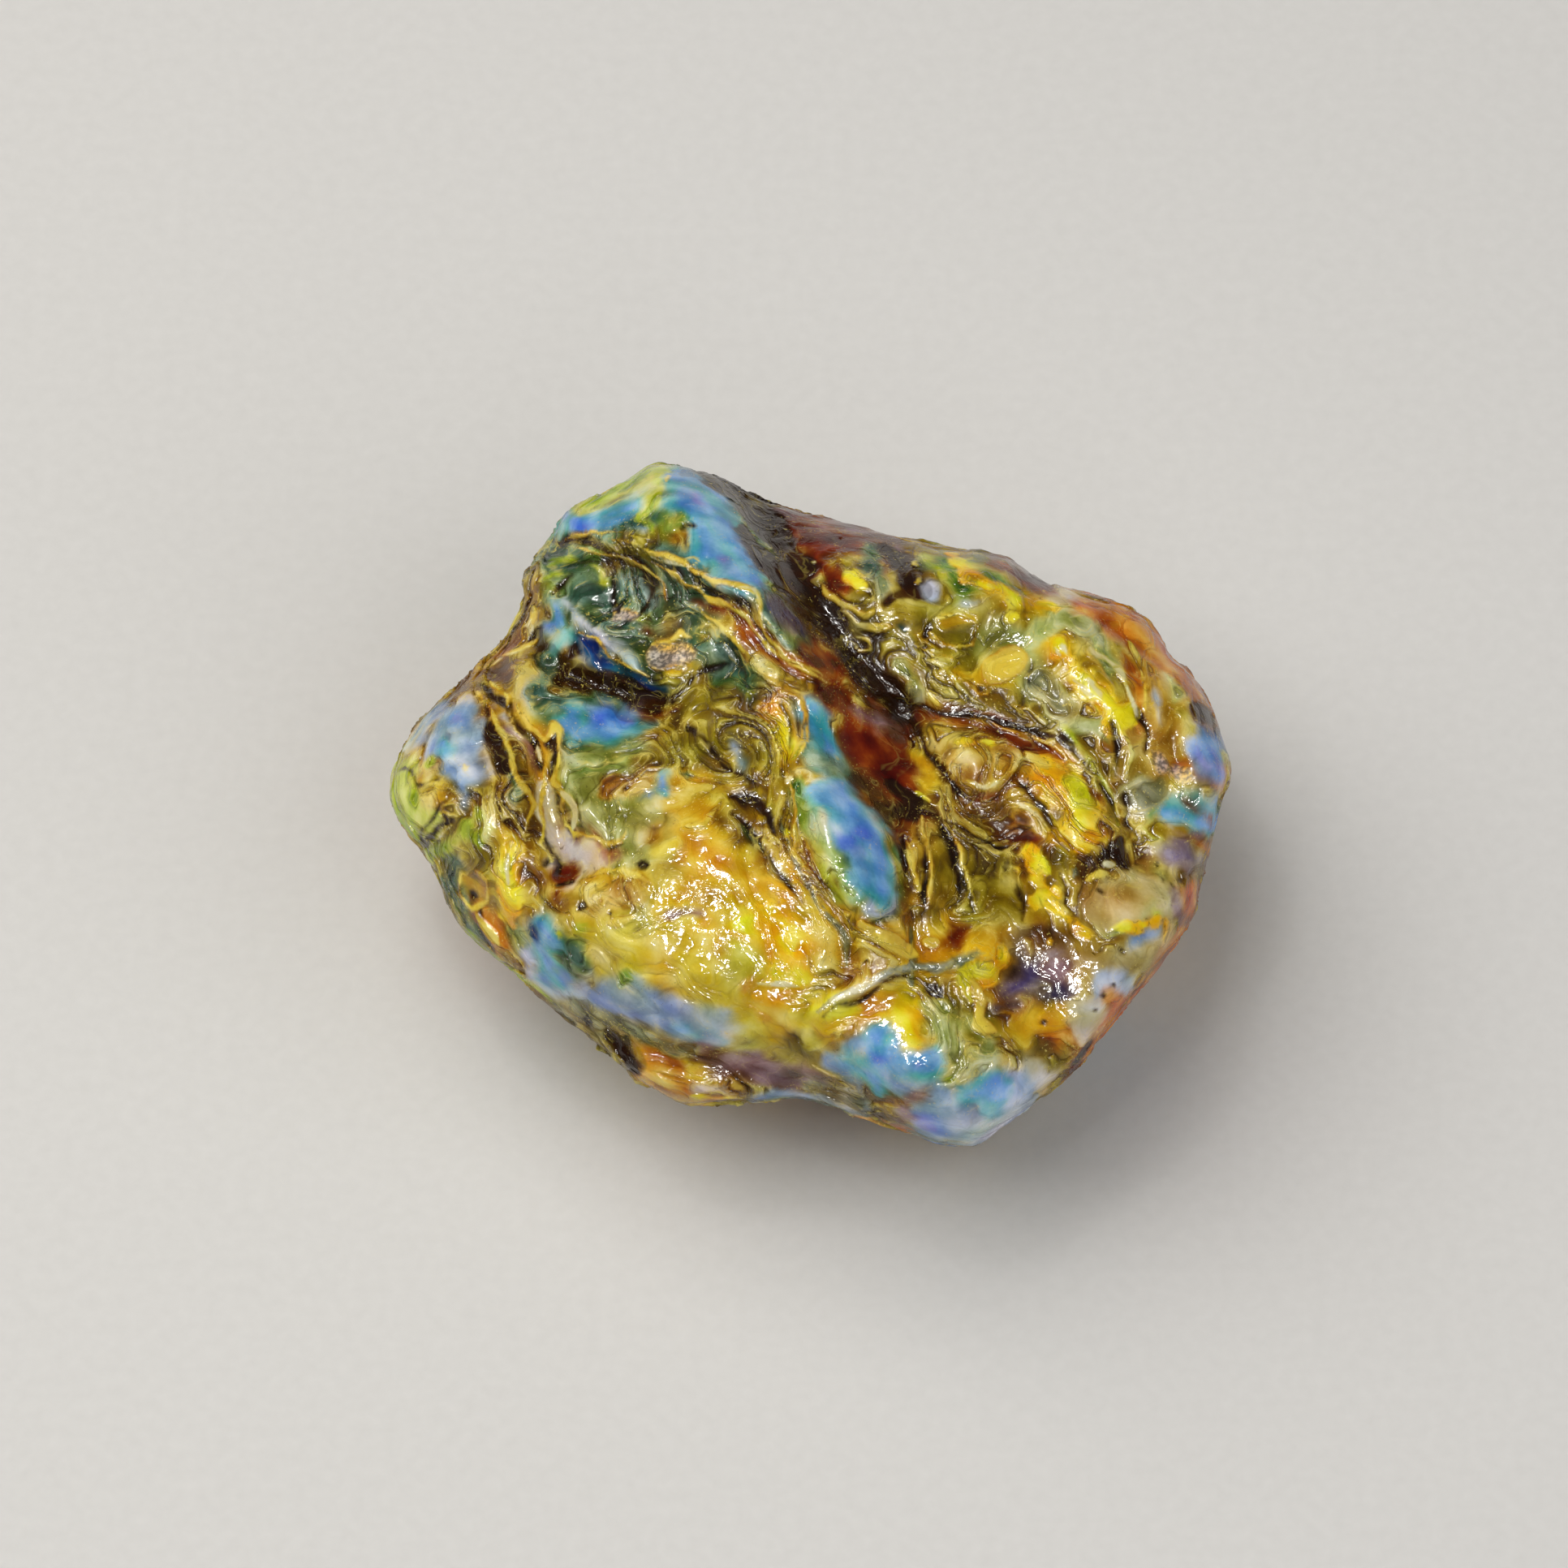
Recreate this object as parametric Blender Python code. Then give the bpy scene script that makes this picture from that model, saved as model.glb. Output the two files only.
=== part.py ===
"""Rough nugget of Dominican blue amber: one lump of fossil resin, 62 mm wide, lying on a small worn flat.

The nugget is drawn on a look plane, the plane square to a line of sight that comes in from the front (-Y) at
LOOK_ELEVATION above the ground. On that plane u runs to the right and v runs up; w stands out of it, towards
the eye. A sphere is stretched to the nugget's rim on that plane, domed towards the eye and away from it, and
its face is then carved with lobes, hollows, creases and ridges. All these are in millimetres.
"""

import math

import bpy
import numpy as np
from mathutils import Vector, noise

MM = 0.001
LOOK_ELEVATION = math.radians(55)

# Half thicknesses of the lump along w, and how much its rim leans back from the look plane.
FRONT_DOME = 15.5
BACK_DOME = 16.5
RIM_LEAN = -0.44
DOME_FULLNESS = 0.86

# The worn flat that it rests on is cut this far above the lump's lowest point, by a block of this size.
FLAT_CUT = 1.7
GROUND_SPAN = 200
GROUND_DEPTH = 20

SPHERE_LEVELS = 7
TRIANGLE_TARGET = 9600

# How far from the rim the carving of each side sets in and is whole, as a share of the lump's half thickness.
FACE_CARVING = (0.0, 0.32)
BACK_CARVING = (0.08, 0.45)
WAVE_CARVING = (0.0, 0.5)

# How squarely lobes and folds fall off at their edges, and the points that each stretch of rim is drawn with.
LOBE_EDGE = 1.3
FOLD_EDGE = 1.6
RIM_STEPS = 8

RESIN_COLOUR = (0.62, 0.44, 0.09, 1)
RESIN_ROUGHNESS = 0.12
RESIN_IOR = 1.54

# The rim as seen along the line of sight, anticlockwise from the head at the upper left: (u, v).
RIM = [
    (-10.6, 25.2), (-12.0, 25.0), (-13.7, 23.8), (-15.8, 22.9), (-17.9, 21.9), (-18.8, 20.7), (-19.3, 19.4),
    (-20.8, 17.5), (-21.2, 16.7), (-21.5, 14.3), (-22.8, 11.7), (-24.1, 10.4), (-27.8, 7.1), (-29.2, 5.5),
    (-30.7, 2.7), (-31.0, 1.3), (-30.9, -0.1), (-29.9, -2.2), (-28.3, -4.0), (-26.6, -7.3), (-25.6, -9.2),
    (-22.6, -11.9), (-19.1, -14.8), (-16.0, -17.3), (-12.9, -20.2), (-10.0, -21.8), (-7.8, -22.1),
    (-3.4, -21.8), (-1.0, -21.7), (1.0, -22.2), (6.5, -23.8), (9.2, -24.9), (11.9, -25.0), (14.7, -23.3),
    (17.6, -21.0), (19.5, -19.6), (22.7, -15.6), (25.8, -12.0), (28.2, -8.2), (28.5, -6.5), (29.6, -3.1),
    (30.5, 0.2), (31.0, 1.6), (31.0, 2.9), (29.7, 6.9), (28.1, 9.4), (26.7, 10.6), (25.6, 12.7), (24.6, 13.8),
    (22.3, 14.9), (18.3, 16.0), (16.5, 16.9), (15.2, 18.0), (13.6, 18.5), (10.1, 19.0), (2.1, 20.8),
    (-2.8, 22.2), (-6.7, 24.3), (-8.6, 24.9),
]

# Rounded swellings and bowls of the face: centre (u, v), half length, half width, turn in degrees, height.
LOBES = {
    "head": ((-7.4, 19.3), 9.0, 5.0, -45, 3.2),
    "left_lobe": ((-26.3, 1.7), 6.5, 5.5, 60, 3.0),
    "belly": ((-8.9, -8.8), 13.5, 8.0, -15, 3.6),
    "nose": ((2.2, -2.8), 8.5, 2.8, -67, 2.6),
    "foot_lobe": ((10.2, -19.8), 8.0, 4.2, -20, 2.6),
    "low_right_rim": ((23.6, -11.8), 8.5, 3.6, 56, 2.4),
    "right_rim": ((28.2, 5.0), 9.5, 2.6, -68, 2.2),
    "top_shoulder": ((12.5, 16.0), 9.0, 3.0, -12, 1.8),
    "medallion": ((13.0, 2.3), 3.9, 3.1, -20, 1.7),
    "bead_shoulder": ((3.6, 15.2), 4.0, 2.6, -30, 1.0),
}
HOLLOWS = {
    "swirl_bowl": ((-12.6, 13.2), 6.6, 5.0, -30, -3.2),
    "blue_hollow": ((-15.2, 6.4), 5.6, 2.8, -8, -1.8),
    "red_hollow": ((4.9, 3.2), 4.8, 2.8, -48, -2.8),
    "right_bowl": ((17.5, 5.0), 11.0, 8.5, -20, -3.6),
    "cream_basin": ((-16.8, -3.4), 4.2, 2.2, -50, -1.1),
    "low_right_dip": ((16.0, -8.0), 6.0, 4.0, -30, -1.4),
    "belly_dimple": ((-1.5, -8.0), 2.6, 3.6, 20, -0.9),
}

# Folds of the face: path of (u, v) points, width on its left and right hand, height (creases are negative).
FOLDS = {
    "main_valley": (
        [(-5.2, 23.6), (-2.9, 19.7), (0.0, 15.2), (3.1, 11.3), (6.4, 6.8), (9.7, 2.0), (13.9, -2.8)],
        2.6, 1.9, -3.6,
    ),
    "right_branch": (
        [(6.4, 6.8), (10.9, 5.9), (15.7, 4.1), (19.9, 2.0), (23.2, -1.9), (24.1, -4.3)],
        1.5, 1.0, -1.6,
    ),
    "s_crease": ([(-20.6, 11.6), (-17.9, 9.2), (-13.7, 7.8), (-10.0, 7.6), (-5.6, 10.2)], 1.1, 1.4, -2.2),
    "brow_crease": (
        [(-19.4, 19.4), (-16.0, 19.2), (-14.3, 17.8), (-12.5, 17.0), (-11.9, 15.2)],
        1.0, 1.0, -1.6,
    ),
    "left_crevice": (
        [(-21.5, 13.7), (-23.3, 11.3), (-22.4, 7.7), (-20.6, 5.0), (-19.6, 1.7), (-18.5, -1.9),
         (-17.6, -4.9)],
        1.3, 1.6, -2.4,
    ),
    "lobe_crease": ([(-23.8, 3.2), (-24.4, 0.2), (-25.7, -1.9), (-28.1, -3.7)], 0.9, 1.1, -1.4),
    "ledge_crease": (
        [(-20.6, -14.0), (-17.9, -15.8), (-14.3, -17.5), (-10.1, -18.7), (-5.9, -19.4), (-1.1, -20.5),
         (3.1, -21.7)],
        1.5, 1.0, -2.0,
    ),
    "nose_crease": ([(-2.3, 5.3), (-1.4, 0.5), (0.1, -4.3), (2.5, -8.5), (2.7, -11.5)], 0.9, 1.1, -1.3),
    "brown_groove": ([(-8.3, 15.2), (-5.6, 13.4), (-3.2, 11.3), (-0.8, 9.2), (2.5, 7.7)], 0.8, 0.9, -1.2),
    "crack_near": ([(6.4, -1.3), (7.1, -4.3), (7.1, -7.3), (7.6, -10.3), (7.4, -12.4)], 0.9, 0.8, -1.2),
    "crack_far": ([(9.7, -0.7), (10.4, -4.3), (10.1, -7.9)], 0.8, 0.8, -0.9),
    "rim_groove": ([(21.9, 13.0), (25.2, 10.9), (26.4, 8.0), (26.6, 5.0), (26.9, 2.8)], 1.0, 0.8, -1.0),
    "flank_crease": ([(-24.9, -5.6), (-23.5, -8.0), (-20.6, -10.8), (-18.2, -13.0)], 0.9, 1.1, -1.2),
    "gold_brow": (
        [(-15.0, 19.1), (-12.5, 19.1), (-10.7, 18.0), (-8.6, 16.6), (-5.7, 15.8), (-3.8, 14.7), (-2.6, 12.9),
         (-1.4, 10.8), (0.7, 8.9)],
        0.9, 1.1, 1.5,
    ),
    "bowl_lip": ([(-18.5, 14.6), (-15.5, 12.4), (-13.7, 10.8), (-11.9, 9.0), (-10.1, 8.6)], 0.8, 0.8, 1.1),
    "tan_band": ([(-5.6, 12.4), (-3.8, 10.3), (-1.4, 8.2), (1.3, 6.8)], 1.1, 1.1, 0.9),
    "twig_ridge": ([(1.0, -15.1), (3.7, -13.4), (6.7, -12.2), (10.0, -11.7), (12.7, -11.0)], 0.8, 0.8, 1.1),
    "flash_slab": ([(18.4, 11.6), (20.8, 8.9), (23.2, 5.9)], 1.5, 1.5, 1.0),
    "flash_leaf": ([(17.8, 2.3), (19.3, 0.2), (19.6, -1.9)], 1.6, 1.6, 0.9),
    "chain_ridge": ([(18.1, 5.0), (20.2, 2.6), (21.7, -0.1), (22.6, -2.8)], 0.7, 0.7, 0.8),
    "crevice_ridge": (
        [(-21.6, 9.6), (-20.9, 6.9), (-18.6, 4.6), (-17.7, 1.0), (-15.6, -1.4)],
        0.8, 0.9, 1.0,
    ),
}

# Folds and swellings of the side that faces away from the eye, drawn on the same look plane.
BACK_LOBES = {
    "back_hump": ((5.0, 9.0), 12.0, 7.0, 15, 2.0),
    "back_cheek": ((-15.0, 6.0), 7.0, 6.0, 60, 1.8),
    "back_saddle": ((-5.0, 13.0), 4.0, 6.0, 10, -1.8),
}
BACK_FOLDS = {
    "back_seam": (
        [(-22.0, 10.0), (-13.0, 12.5), (-4.0, 7.0), (7.0, 6.0), (16.0, 9.5), (24.0, 5.0)],
        1.6, 1.2, -1.7,
    ),
    "back_gully": ([(8.0, 17.5), (10.5, 11.0), (8.0, 4.0), (12.0, -4.0)], 1.2, 1.6, -1.4),
    "back_fold": ([(-16.0, 17.0), (-12.0, 7.0), (-15.0, -2.0)], 1.2, 1.0, -1.3),
    "back_roll": ([(-2.0, 18.0), (1.0, 11.0), (6.0, 8.5)], 1.0, 1.3, 1.2),
}

# Shell-shaped break scars on the far side: the way each faces (turn from the front, then above the ground,
# in degrees), how deep it bites and the radius of its curve.
SCARS = {
    "back_scar": (160, 12, 3.2, 26.0),
    "back_left_scar": (-120, -12, 3.0, 30.0),
    "right_scar": (82, -28, 3.4, 24.0),
    "under_front_scar": (-12, -38, 2.6, 30.0),
}
SCAR_EDGE = 0.35

# Gentle unevenness of the whole lump: size of the waves in mm, and their height.
WAVES = [(11.0, 1.5), (5.0, 0.6), (2.4, 0.2)]
WAVE_SEED = Vector((3.7, 11.2, 5.9))


def smooth_step(low, high, value):
    share = np.clip((value - low) / (high - low), 0, 1)
    return share * share * (3 - 2 * share)


def rim_radius(angle):
    """Radius of the rim at each angle of the look plane, on a smooth closed curve through RIM's points."""
    points = np.array(RIM)
    steps = np.linspace(0, 1, RIM_STEPS, endpoint=False)[:, None]
    curve = []
    for i in range(len(points)):
        before, start, end, after = (points[(i + k) % len(points)] for k in (-1, 0, 1, 2))
        curve.append(
            0.5 * (2 * start + (end - before) * steps + (2 * before - 5 * start + 4 * end - after) * steps**2
                   + (3 * start - before - 3 * end + after) * steps**3)
        )
    curve = np.concatenate(curve)
    return np.interp(angle, np.arctan2(curve[:, 1], curve[:, 0]), np.hypot(curve[:, 0], curve[:, 1]),
                     period=2 * math.pi)


def lobe_height(u, v, lobe):
    """A rounded swelling: full height at its centre, none from about twice its half length."""
    (centre_u, centre_v), half_length, half_width, turn, height = lobe
    cos, sin = math.cos(math.radians(turn)), math.sin(math.radians(turn))
    along = ((u - centre_u) * cos + (v - centre_v) * sin) / half_length
    across = ((v - centre_v) * cos - (u - centre_u) * sin) / half_width
    return height * np.exp(-((along**2 + across**2) ** LOBE_EDGE))


def fold_height(u, v, fold):
    """A crease or a ridge along a path, with its own width on each side."""
    path, left_width, right_width, height = fold
    nearest = np.full(u.shape, np.inf)
    side = np.ones(u.shape)
    for (start_u, start_v), (end_u, end_v) in zip(path, path[1:]):
        run_u, run_v = end_u - start_u, end_v - start_v
        share = np.clip(((u - start_u) * run_u + (v - start_v) * run_v) / (run_u**2 + run_v**2), 0, 1)
        off_u, off_v = u - start_u - share * run_u, v - start_v - share * run_v
        distance = np.hypot(off_u, off_v)
        closer = distance < nearest
        nearest = np.where(closer, distance, nearest)
        side = np.where(closer, run_u * off_v - run_v * off_u, side)
    width = np.where(side > 0, left_width, right_width)
    return height * np.exp(-((nearest / width) ** FOLD_EDGE))


def wave_height(points):
    total = np.zeros(len(points))
    for size, height in WAVES:
        total += [height * noise.noise(Vector(p) / size + WAVE_SEED) for p in points]
    return total


def bite_scar(points, bite, scar):
    """Bites a shallow shell-shaped hollow out of the points, as deep as bite (0 to 1) lets it."""
    turn, rise, depth, radius = scar
    turn, rise = math.radians(turn), math.radians(rise)
    faces = np.array([math.sin(turn) * math.cos(rise), -math.cos(turn) * math.cos(rise), math.sin(rise)])
    foot = points[np.argmax(points @ faces)]
    centre = foot + faces * (radius - depth)
    away = points - centre
    distance = np.linalg.norm(away, axis=1)
    push = SCAR_EDGE * np.logaddexp(0, (radius - distance) / SCAR_EDGE)
    return points + away * (bite * push / distance)[:, None]


def nugget_shape(ball):
    """Takes points of a unit ball, with its third axis towards the eye, to points of the nugget in mm."""
    angle = np.arctan2(ball[:, 1], ball[:, 0])
    share = np.hypot(ball[:, 0], ball[:, 1])
    reach = share * rim_radius(angle)
    u, v = reach * np.cos(angle), reach * np.sin(angle)
    depth = np.abs(ball[:, 2]) ** DOME_FULLNESS
    w = RIM_LEAN * v + np.where(ball[:, 2] > 0, FRONT_DOME * depth, -BACK_DOME * depth)

    facing = smooth_step(*FACE_CARVING, ball[:, 2])
    w += facing * sum(lobe_height(u, v, lobe) for lobe in [*LOBES.values(), *HOLLOWS.values()])
    w += facing * sum(fold_height(u, v, fold) for fold in FOLDS.values())
    turned_away = smooth_step(*BACK_CARVING, -ball[:, 2])
    w -= turned_away * sum(lobe_height(u, v, lobe) for lobe in BACK_LOBES.values())
    w -= turned_away * sum(fold_height(u, v, fold) for fold in BACK_FOLDS.values())
    w += smooth_step(*WAVE_CARVING, np.abs(ball[:, 2])) * wave_height(np.column_stack([u, v, w]))

    sin, cos = math.sin(LOOK_ELEVATION), math.cos(LOOK_ELEVATION)
    points = np.column_stack([u, v * sin - w * cos, v * cos + w * sin])
    for scar in SCARS.values():
        points = bite_scar(points, turned_away, scar)
    return points


def resin_material():
    material = bpy.data.materials.new("amber_resin")
    material.use_nodes = True
    shader = material.node_tree.nodes["Principled BSDF"]
    shader.inputs["Base Color"].default_value = RESIN_COLOUR
    shader.inputs["Roughness"].default_value = RESIN_ROUGHNESS
    shader.inputs["IOR"].default_value = RESIN_IOR
    return material


def add_nugget(collection):
    bpy.ops.mesh.primitive_ico_sphere_add(subdivisions=SPHERE_LEVELS, radius=1)
    nugget = bpy.context.object
    nugget.name = nugget.data.name = "amber_nugget"
    for owner in nugget.users_collection:
        owner.objects.unlink(nugget)
    collection.objects.link(nugget)

    ball = np.empty(len(nugget.data.vertices) * 3)
    nugget.data.vertices.foreach_get("co", ball)
    points = nugget_shape(ball.reshape(-1, 3))
    points[:, 2] -= points[:, 2].min() + FLAT_CUT
    above = points[points[:, 2] > 0]
    middle = (above.min(axis=0) + above.max(axis=0)) / 2
    points[:, :2] -= middle[:2]
    nugget.data.vertices.foreach_set("co", (points * MM).ravel())
    nugget.data.update()

    thin_out = nugget.modifiers.new("facets", "DECIMATE")
    thin_out.ratio = TRIANGLE_TARGET / len(nugget.data.polygons)
    nugget.data.materials.append(resin_material())
    nugget.data.shade_smooth()
    return nugget


def cut_flat(nugget, cutters):
    """Cuts off what reaches below the ground, which leaves the worn flat."""
    bpy.ops.mesh.primitive_cube_add(size=1, location=(0, 0, -GROUND_DEPTH * MM / 2))
    ground = bpy.context.object
    ground.name = "ground_cutter"
    ground.scale = (GROUND_SPAN * MM, GROUND_SPAN * MM, GROUND_DEPTH * MM)
    ground.hide_render = True
    ground.display_type = "WIRE"
    for owner in ground.users_collection:
        owner.objects.unlink(ground)
    cutters.objects.link(ground)
    cut = nugget.modifiers.new("worn_flat", "BOOLEAN")
    cut.operation = "DIFFERENCE"
    cut.solver = "EXACT"
    cut.object = ground


def main():
    for old in list(bpy.data.objects):
        bpy.data.objects.remove(old)
    parts = bpy.data.collections.new("blue_amber")
    cutters = bpy.data.collections.new("cutters")
    bpy.context.scene.collection.children.link(parts)
    bpy.context.scene.collection.children.link(cutters)
    cut_flat(add_nugget(parts), cutters)


main()
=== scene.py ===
import math
import bpy
import numpy as np
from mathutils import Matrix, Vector, noise


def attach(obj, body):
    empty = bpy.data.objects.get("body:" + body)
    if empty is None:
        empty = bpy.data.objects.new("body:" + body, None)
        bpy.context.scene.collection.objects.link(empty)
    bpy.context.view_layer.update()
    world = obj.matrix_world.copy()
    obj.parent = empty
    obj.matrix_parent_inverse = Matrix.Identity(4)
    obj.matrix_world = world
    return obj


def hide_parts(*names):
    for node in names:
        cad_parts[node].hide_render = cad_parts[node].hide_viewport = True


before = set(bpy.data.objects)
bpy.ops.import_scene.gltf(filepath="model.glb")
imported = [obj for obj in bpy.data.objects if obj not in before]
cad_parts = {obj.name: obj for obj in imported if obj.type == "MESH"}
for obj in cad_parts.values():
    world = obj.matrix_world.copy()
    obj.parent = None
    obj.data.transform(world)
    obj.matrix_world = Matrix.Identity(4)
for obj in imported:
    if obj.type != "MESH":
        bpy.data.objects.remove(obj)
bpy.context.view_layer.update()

mm = 0.001
noise.seed_set(1)     # without it noise_vector takes its offsets from the clock

# The face is drawn on a plane square to the eye: u to the right, v up, w towards the eye, all in mm
look = {
    "elevation": 55,          # degrees above the ground
    "lens": 300,
    "sensor": 36,
    "clip": (0.05, 10),       # metres
    "viewWidth": 115.92,      # mm that the picture is wide at the nugget
    "centre": (-1.98, 1.35),  # u and v in the middle of the picture
    "originDown": 0.1,        # mm that u, v = 0, 0 lies below the middle of the outline
}
rise = math.radians(look["elevation"])
rightward = np.array([1.0, 0.0, 0.0])
upward = np.array([0.0, math.sin(rise), math.cos(rise)])
eyeward = np.array([0.0, -math.cos(rise), math.sin(rise)])
lookAxes = np.column_stack([rightward, upward, eyeward])


def vertexArray(mesh, what):
    values = np.empty(len(mesh.vertices) * 3)
    mesh.vertices.foreach_get(what, values)
    return values.reshape(-1, 3)


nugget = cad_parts["amber_nugget"]
cadLook = vertexArray(nugget.data, "co") @ lookAxes / mm
drawnMiddle = (cadLook.min(axis=0) + cadLook.max(axis=0)) / 2 - [0, look["originDown"], 0]


def toLook(points):
    return points @ lookAxes / mm - drawnMiddle


# Camera, at the photograph's viewing angle
def addCamera():
    data = bpy.data.cameras.new("lookCamera")
    camera = bpy.data.objects.new("lookCamera", data)
    bpy.context.scene.collection.objects.link(camera)
    data.lens = look["lens"]
    data.sensor_width = look["sensor"]
    data.clip_start, data.clip_end = look["clip"]
    target = lookAxes @ (drawnMiddle + [*look["centre"], 0]) * mm
    distance = look["viewWidth"] * mm * look["lens"] / look["sensor"]
    camera.location = Vector(target + eyeward * distance)
    camera.rotation_mode = "QUATERNION"
    camera.rotation_quaternion = Vector(-eyeward).to_track_quat("-Z", "Y")
    bpy.context.scene.camera = camera


# Studio: a broad soft key from the upper left, a low fill on the right, and small lamps that only
# the gloss mirrors. Each lamp: place, width, watts, colour
studio = {
    "soft": {
        "key": ((-0.35, 0.10, 0.60), 0.80, 5.4, (1.0, 0.97, 0.92)),
        "fill": ((0.50, -0.40, 0.45), 0.80, 2.6, (0.96, 0.97, 1.0)),
    },
    "glints": {
        "glintLeft": ((-0.22, -0.30, 0.52), 0.06, 5.0, (1.0, 0.99, 0.96)),
        "glintMiddle": ((-0.05, -0.16, 0.62), 0.05, 2.4, (1.0, 0.99, 0.96)),
        "glintRight": ((0.16, -0.24, 0.58), 0.06, 3.4, (1.0, 0.98, 0.94)),
        "glintHigh": ((-0.16, 0.06, 0.60), 0.06, 4.6, (1.0, 0.99, 0.96)),
        "glintLow": ((0.05, -0.52, 0.36), 0.06, 4.2, (1.0, 0.99, 0.96)),
    },
    "aim": (0, 0, 0.014),
    "air": (0.90, 0.92, 0.95),
    "airStrength": 0.12,
    "floorSize": 6,
    "floorPale": (0.66, 0.65, 0.63),
    "floorShade": (0.60, 0.59, 0.57),
    "floorRoughness": 0.85,
    "floorMottle": {"Scale": 900.0, "Detail": 3.0},
}


def addLamp(name, place, size, power, colour):
    data = bpy.data.lights.new(name, "AREA")
    data.size = size
    data.energy = power
    data.color = colour
    lamp = bpy.data.objects.new(name, data)
    bpy.context.scene.collection.objects.link(lamp)
    lamp.location = place
    lamp.rotation_mode = "QUATERNION"
    lamp.rotation_quaternion = (Vector(studio["aim"]) - Vector(place)).to_track_quat("-Z", "Y")
    return lamp


def addLamps():
    for name, settings in studio["soft"].items():
        addLamp(name, *settings).visible_glossy = False
    for name, settings in studio["glints"].items():
        lamp = addLamp(name, *settings)
        lamp.visible_diffuse = False
        lamp.visible_transmission = False
    world = bpy.data.worlds.new("studioAir")
    bpy.context.scene.world = world
    world.use_nodes = True
    air = world.node_tree.nodes["Background"]
    air.inputs["Color"].default_value = (*studio["air"], 1)
    air.inputs["Strength"].default_value = studio["airStrength"]
    bpy.context.scene.view_settings.view_transform = "Standard"


def addNode(tree, kind, **inputs):
    made = tree.nodes.new(kind)
    for name, value in inputs.items():
        made.inputs[name].default_value = value
    return made


def addFloor():
    bpy.ops.object.select_all(action="DESELECT")
    bpy.ops.mesh.primitive_plane_add(size=studio["floorSize"])
    floor = bpy.context.object
    floor.name = "studioFloor"
    material = bpy.data.materials.new("paleFloor")
    material.use_nodes = True
    tree = material.node_tree
    shader = tree.nodes["Principled BSDF"]
    shader.inputs["Roughness"].default_value = studio["floorRoughness"]
    place = tree.nodes.new("ShaderNodeTexCoord")
    mottle = addNode(tree, "ShaderNodeTexNoise", **studio["floorMottle"])
    ramp = tree.nodes.new("ShaderNodeValToRGB")
    for stop, name in zip(ramp.color_ramp.elements, ("floorShade", "floorPale")):
        stop.color = (*studio[name], 1)
    tree.links.new(place.outputs["Object"], mottle.inputs["Vector"])
    tree.links.new(mottle.outputs["Fac"], ramp.inputs["Fac"])
    tree.links.new(ramp.outputs["Color"], shader.inputs["Base Color"])
    floor.data.materials.append(material)


addCamera()
addLamps()
addFloor()
print("studio ready")

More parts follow.
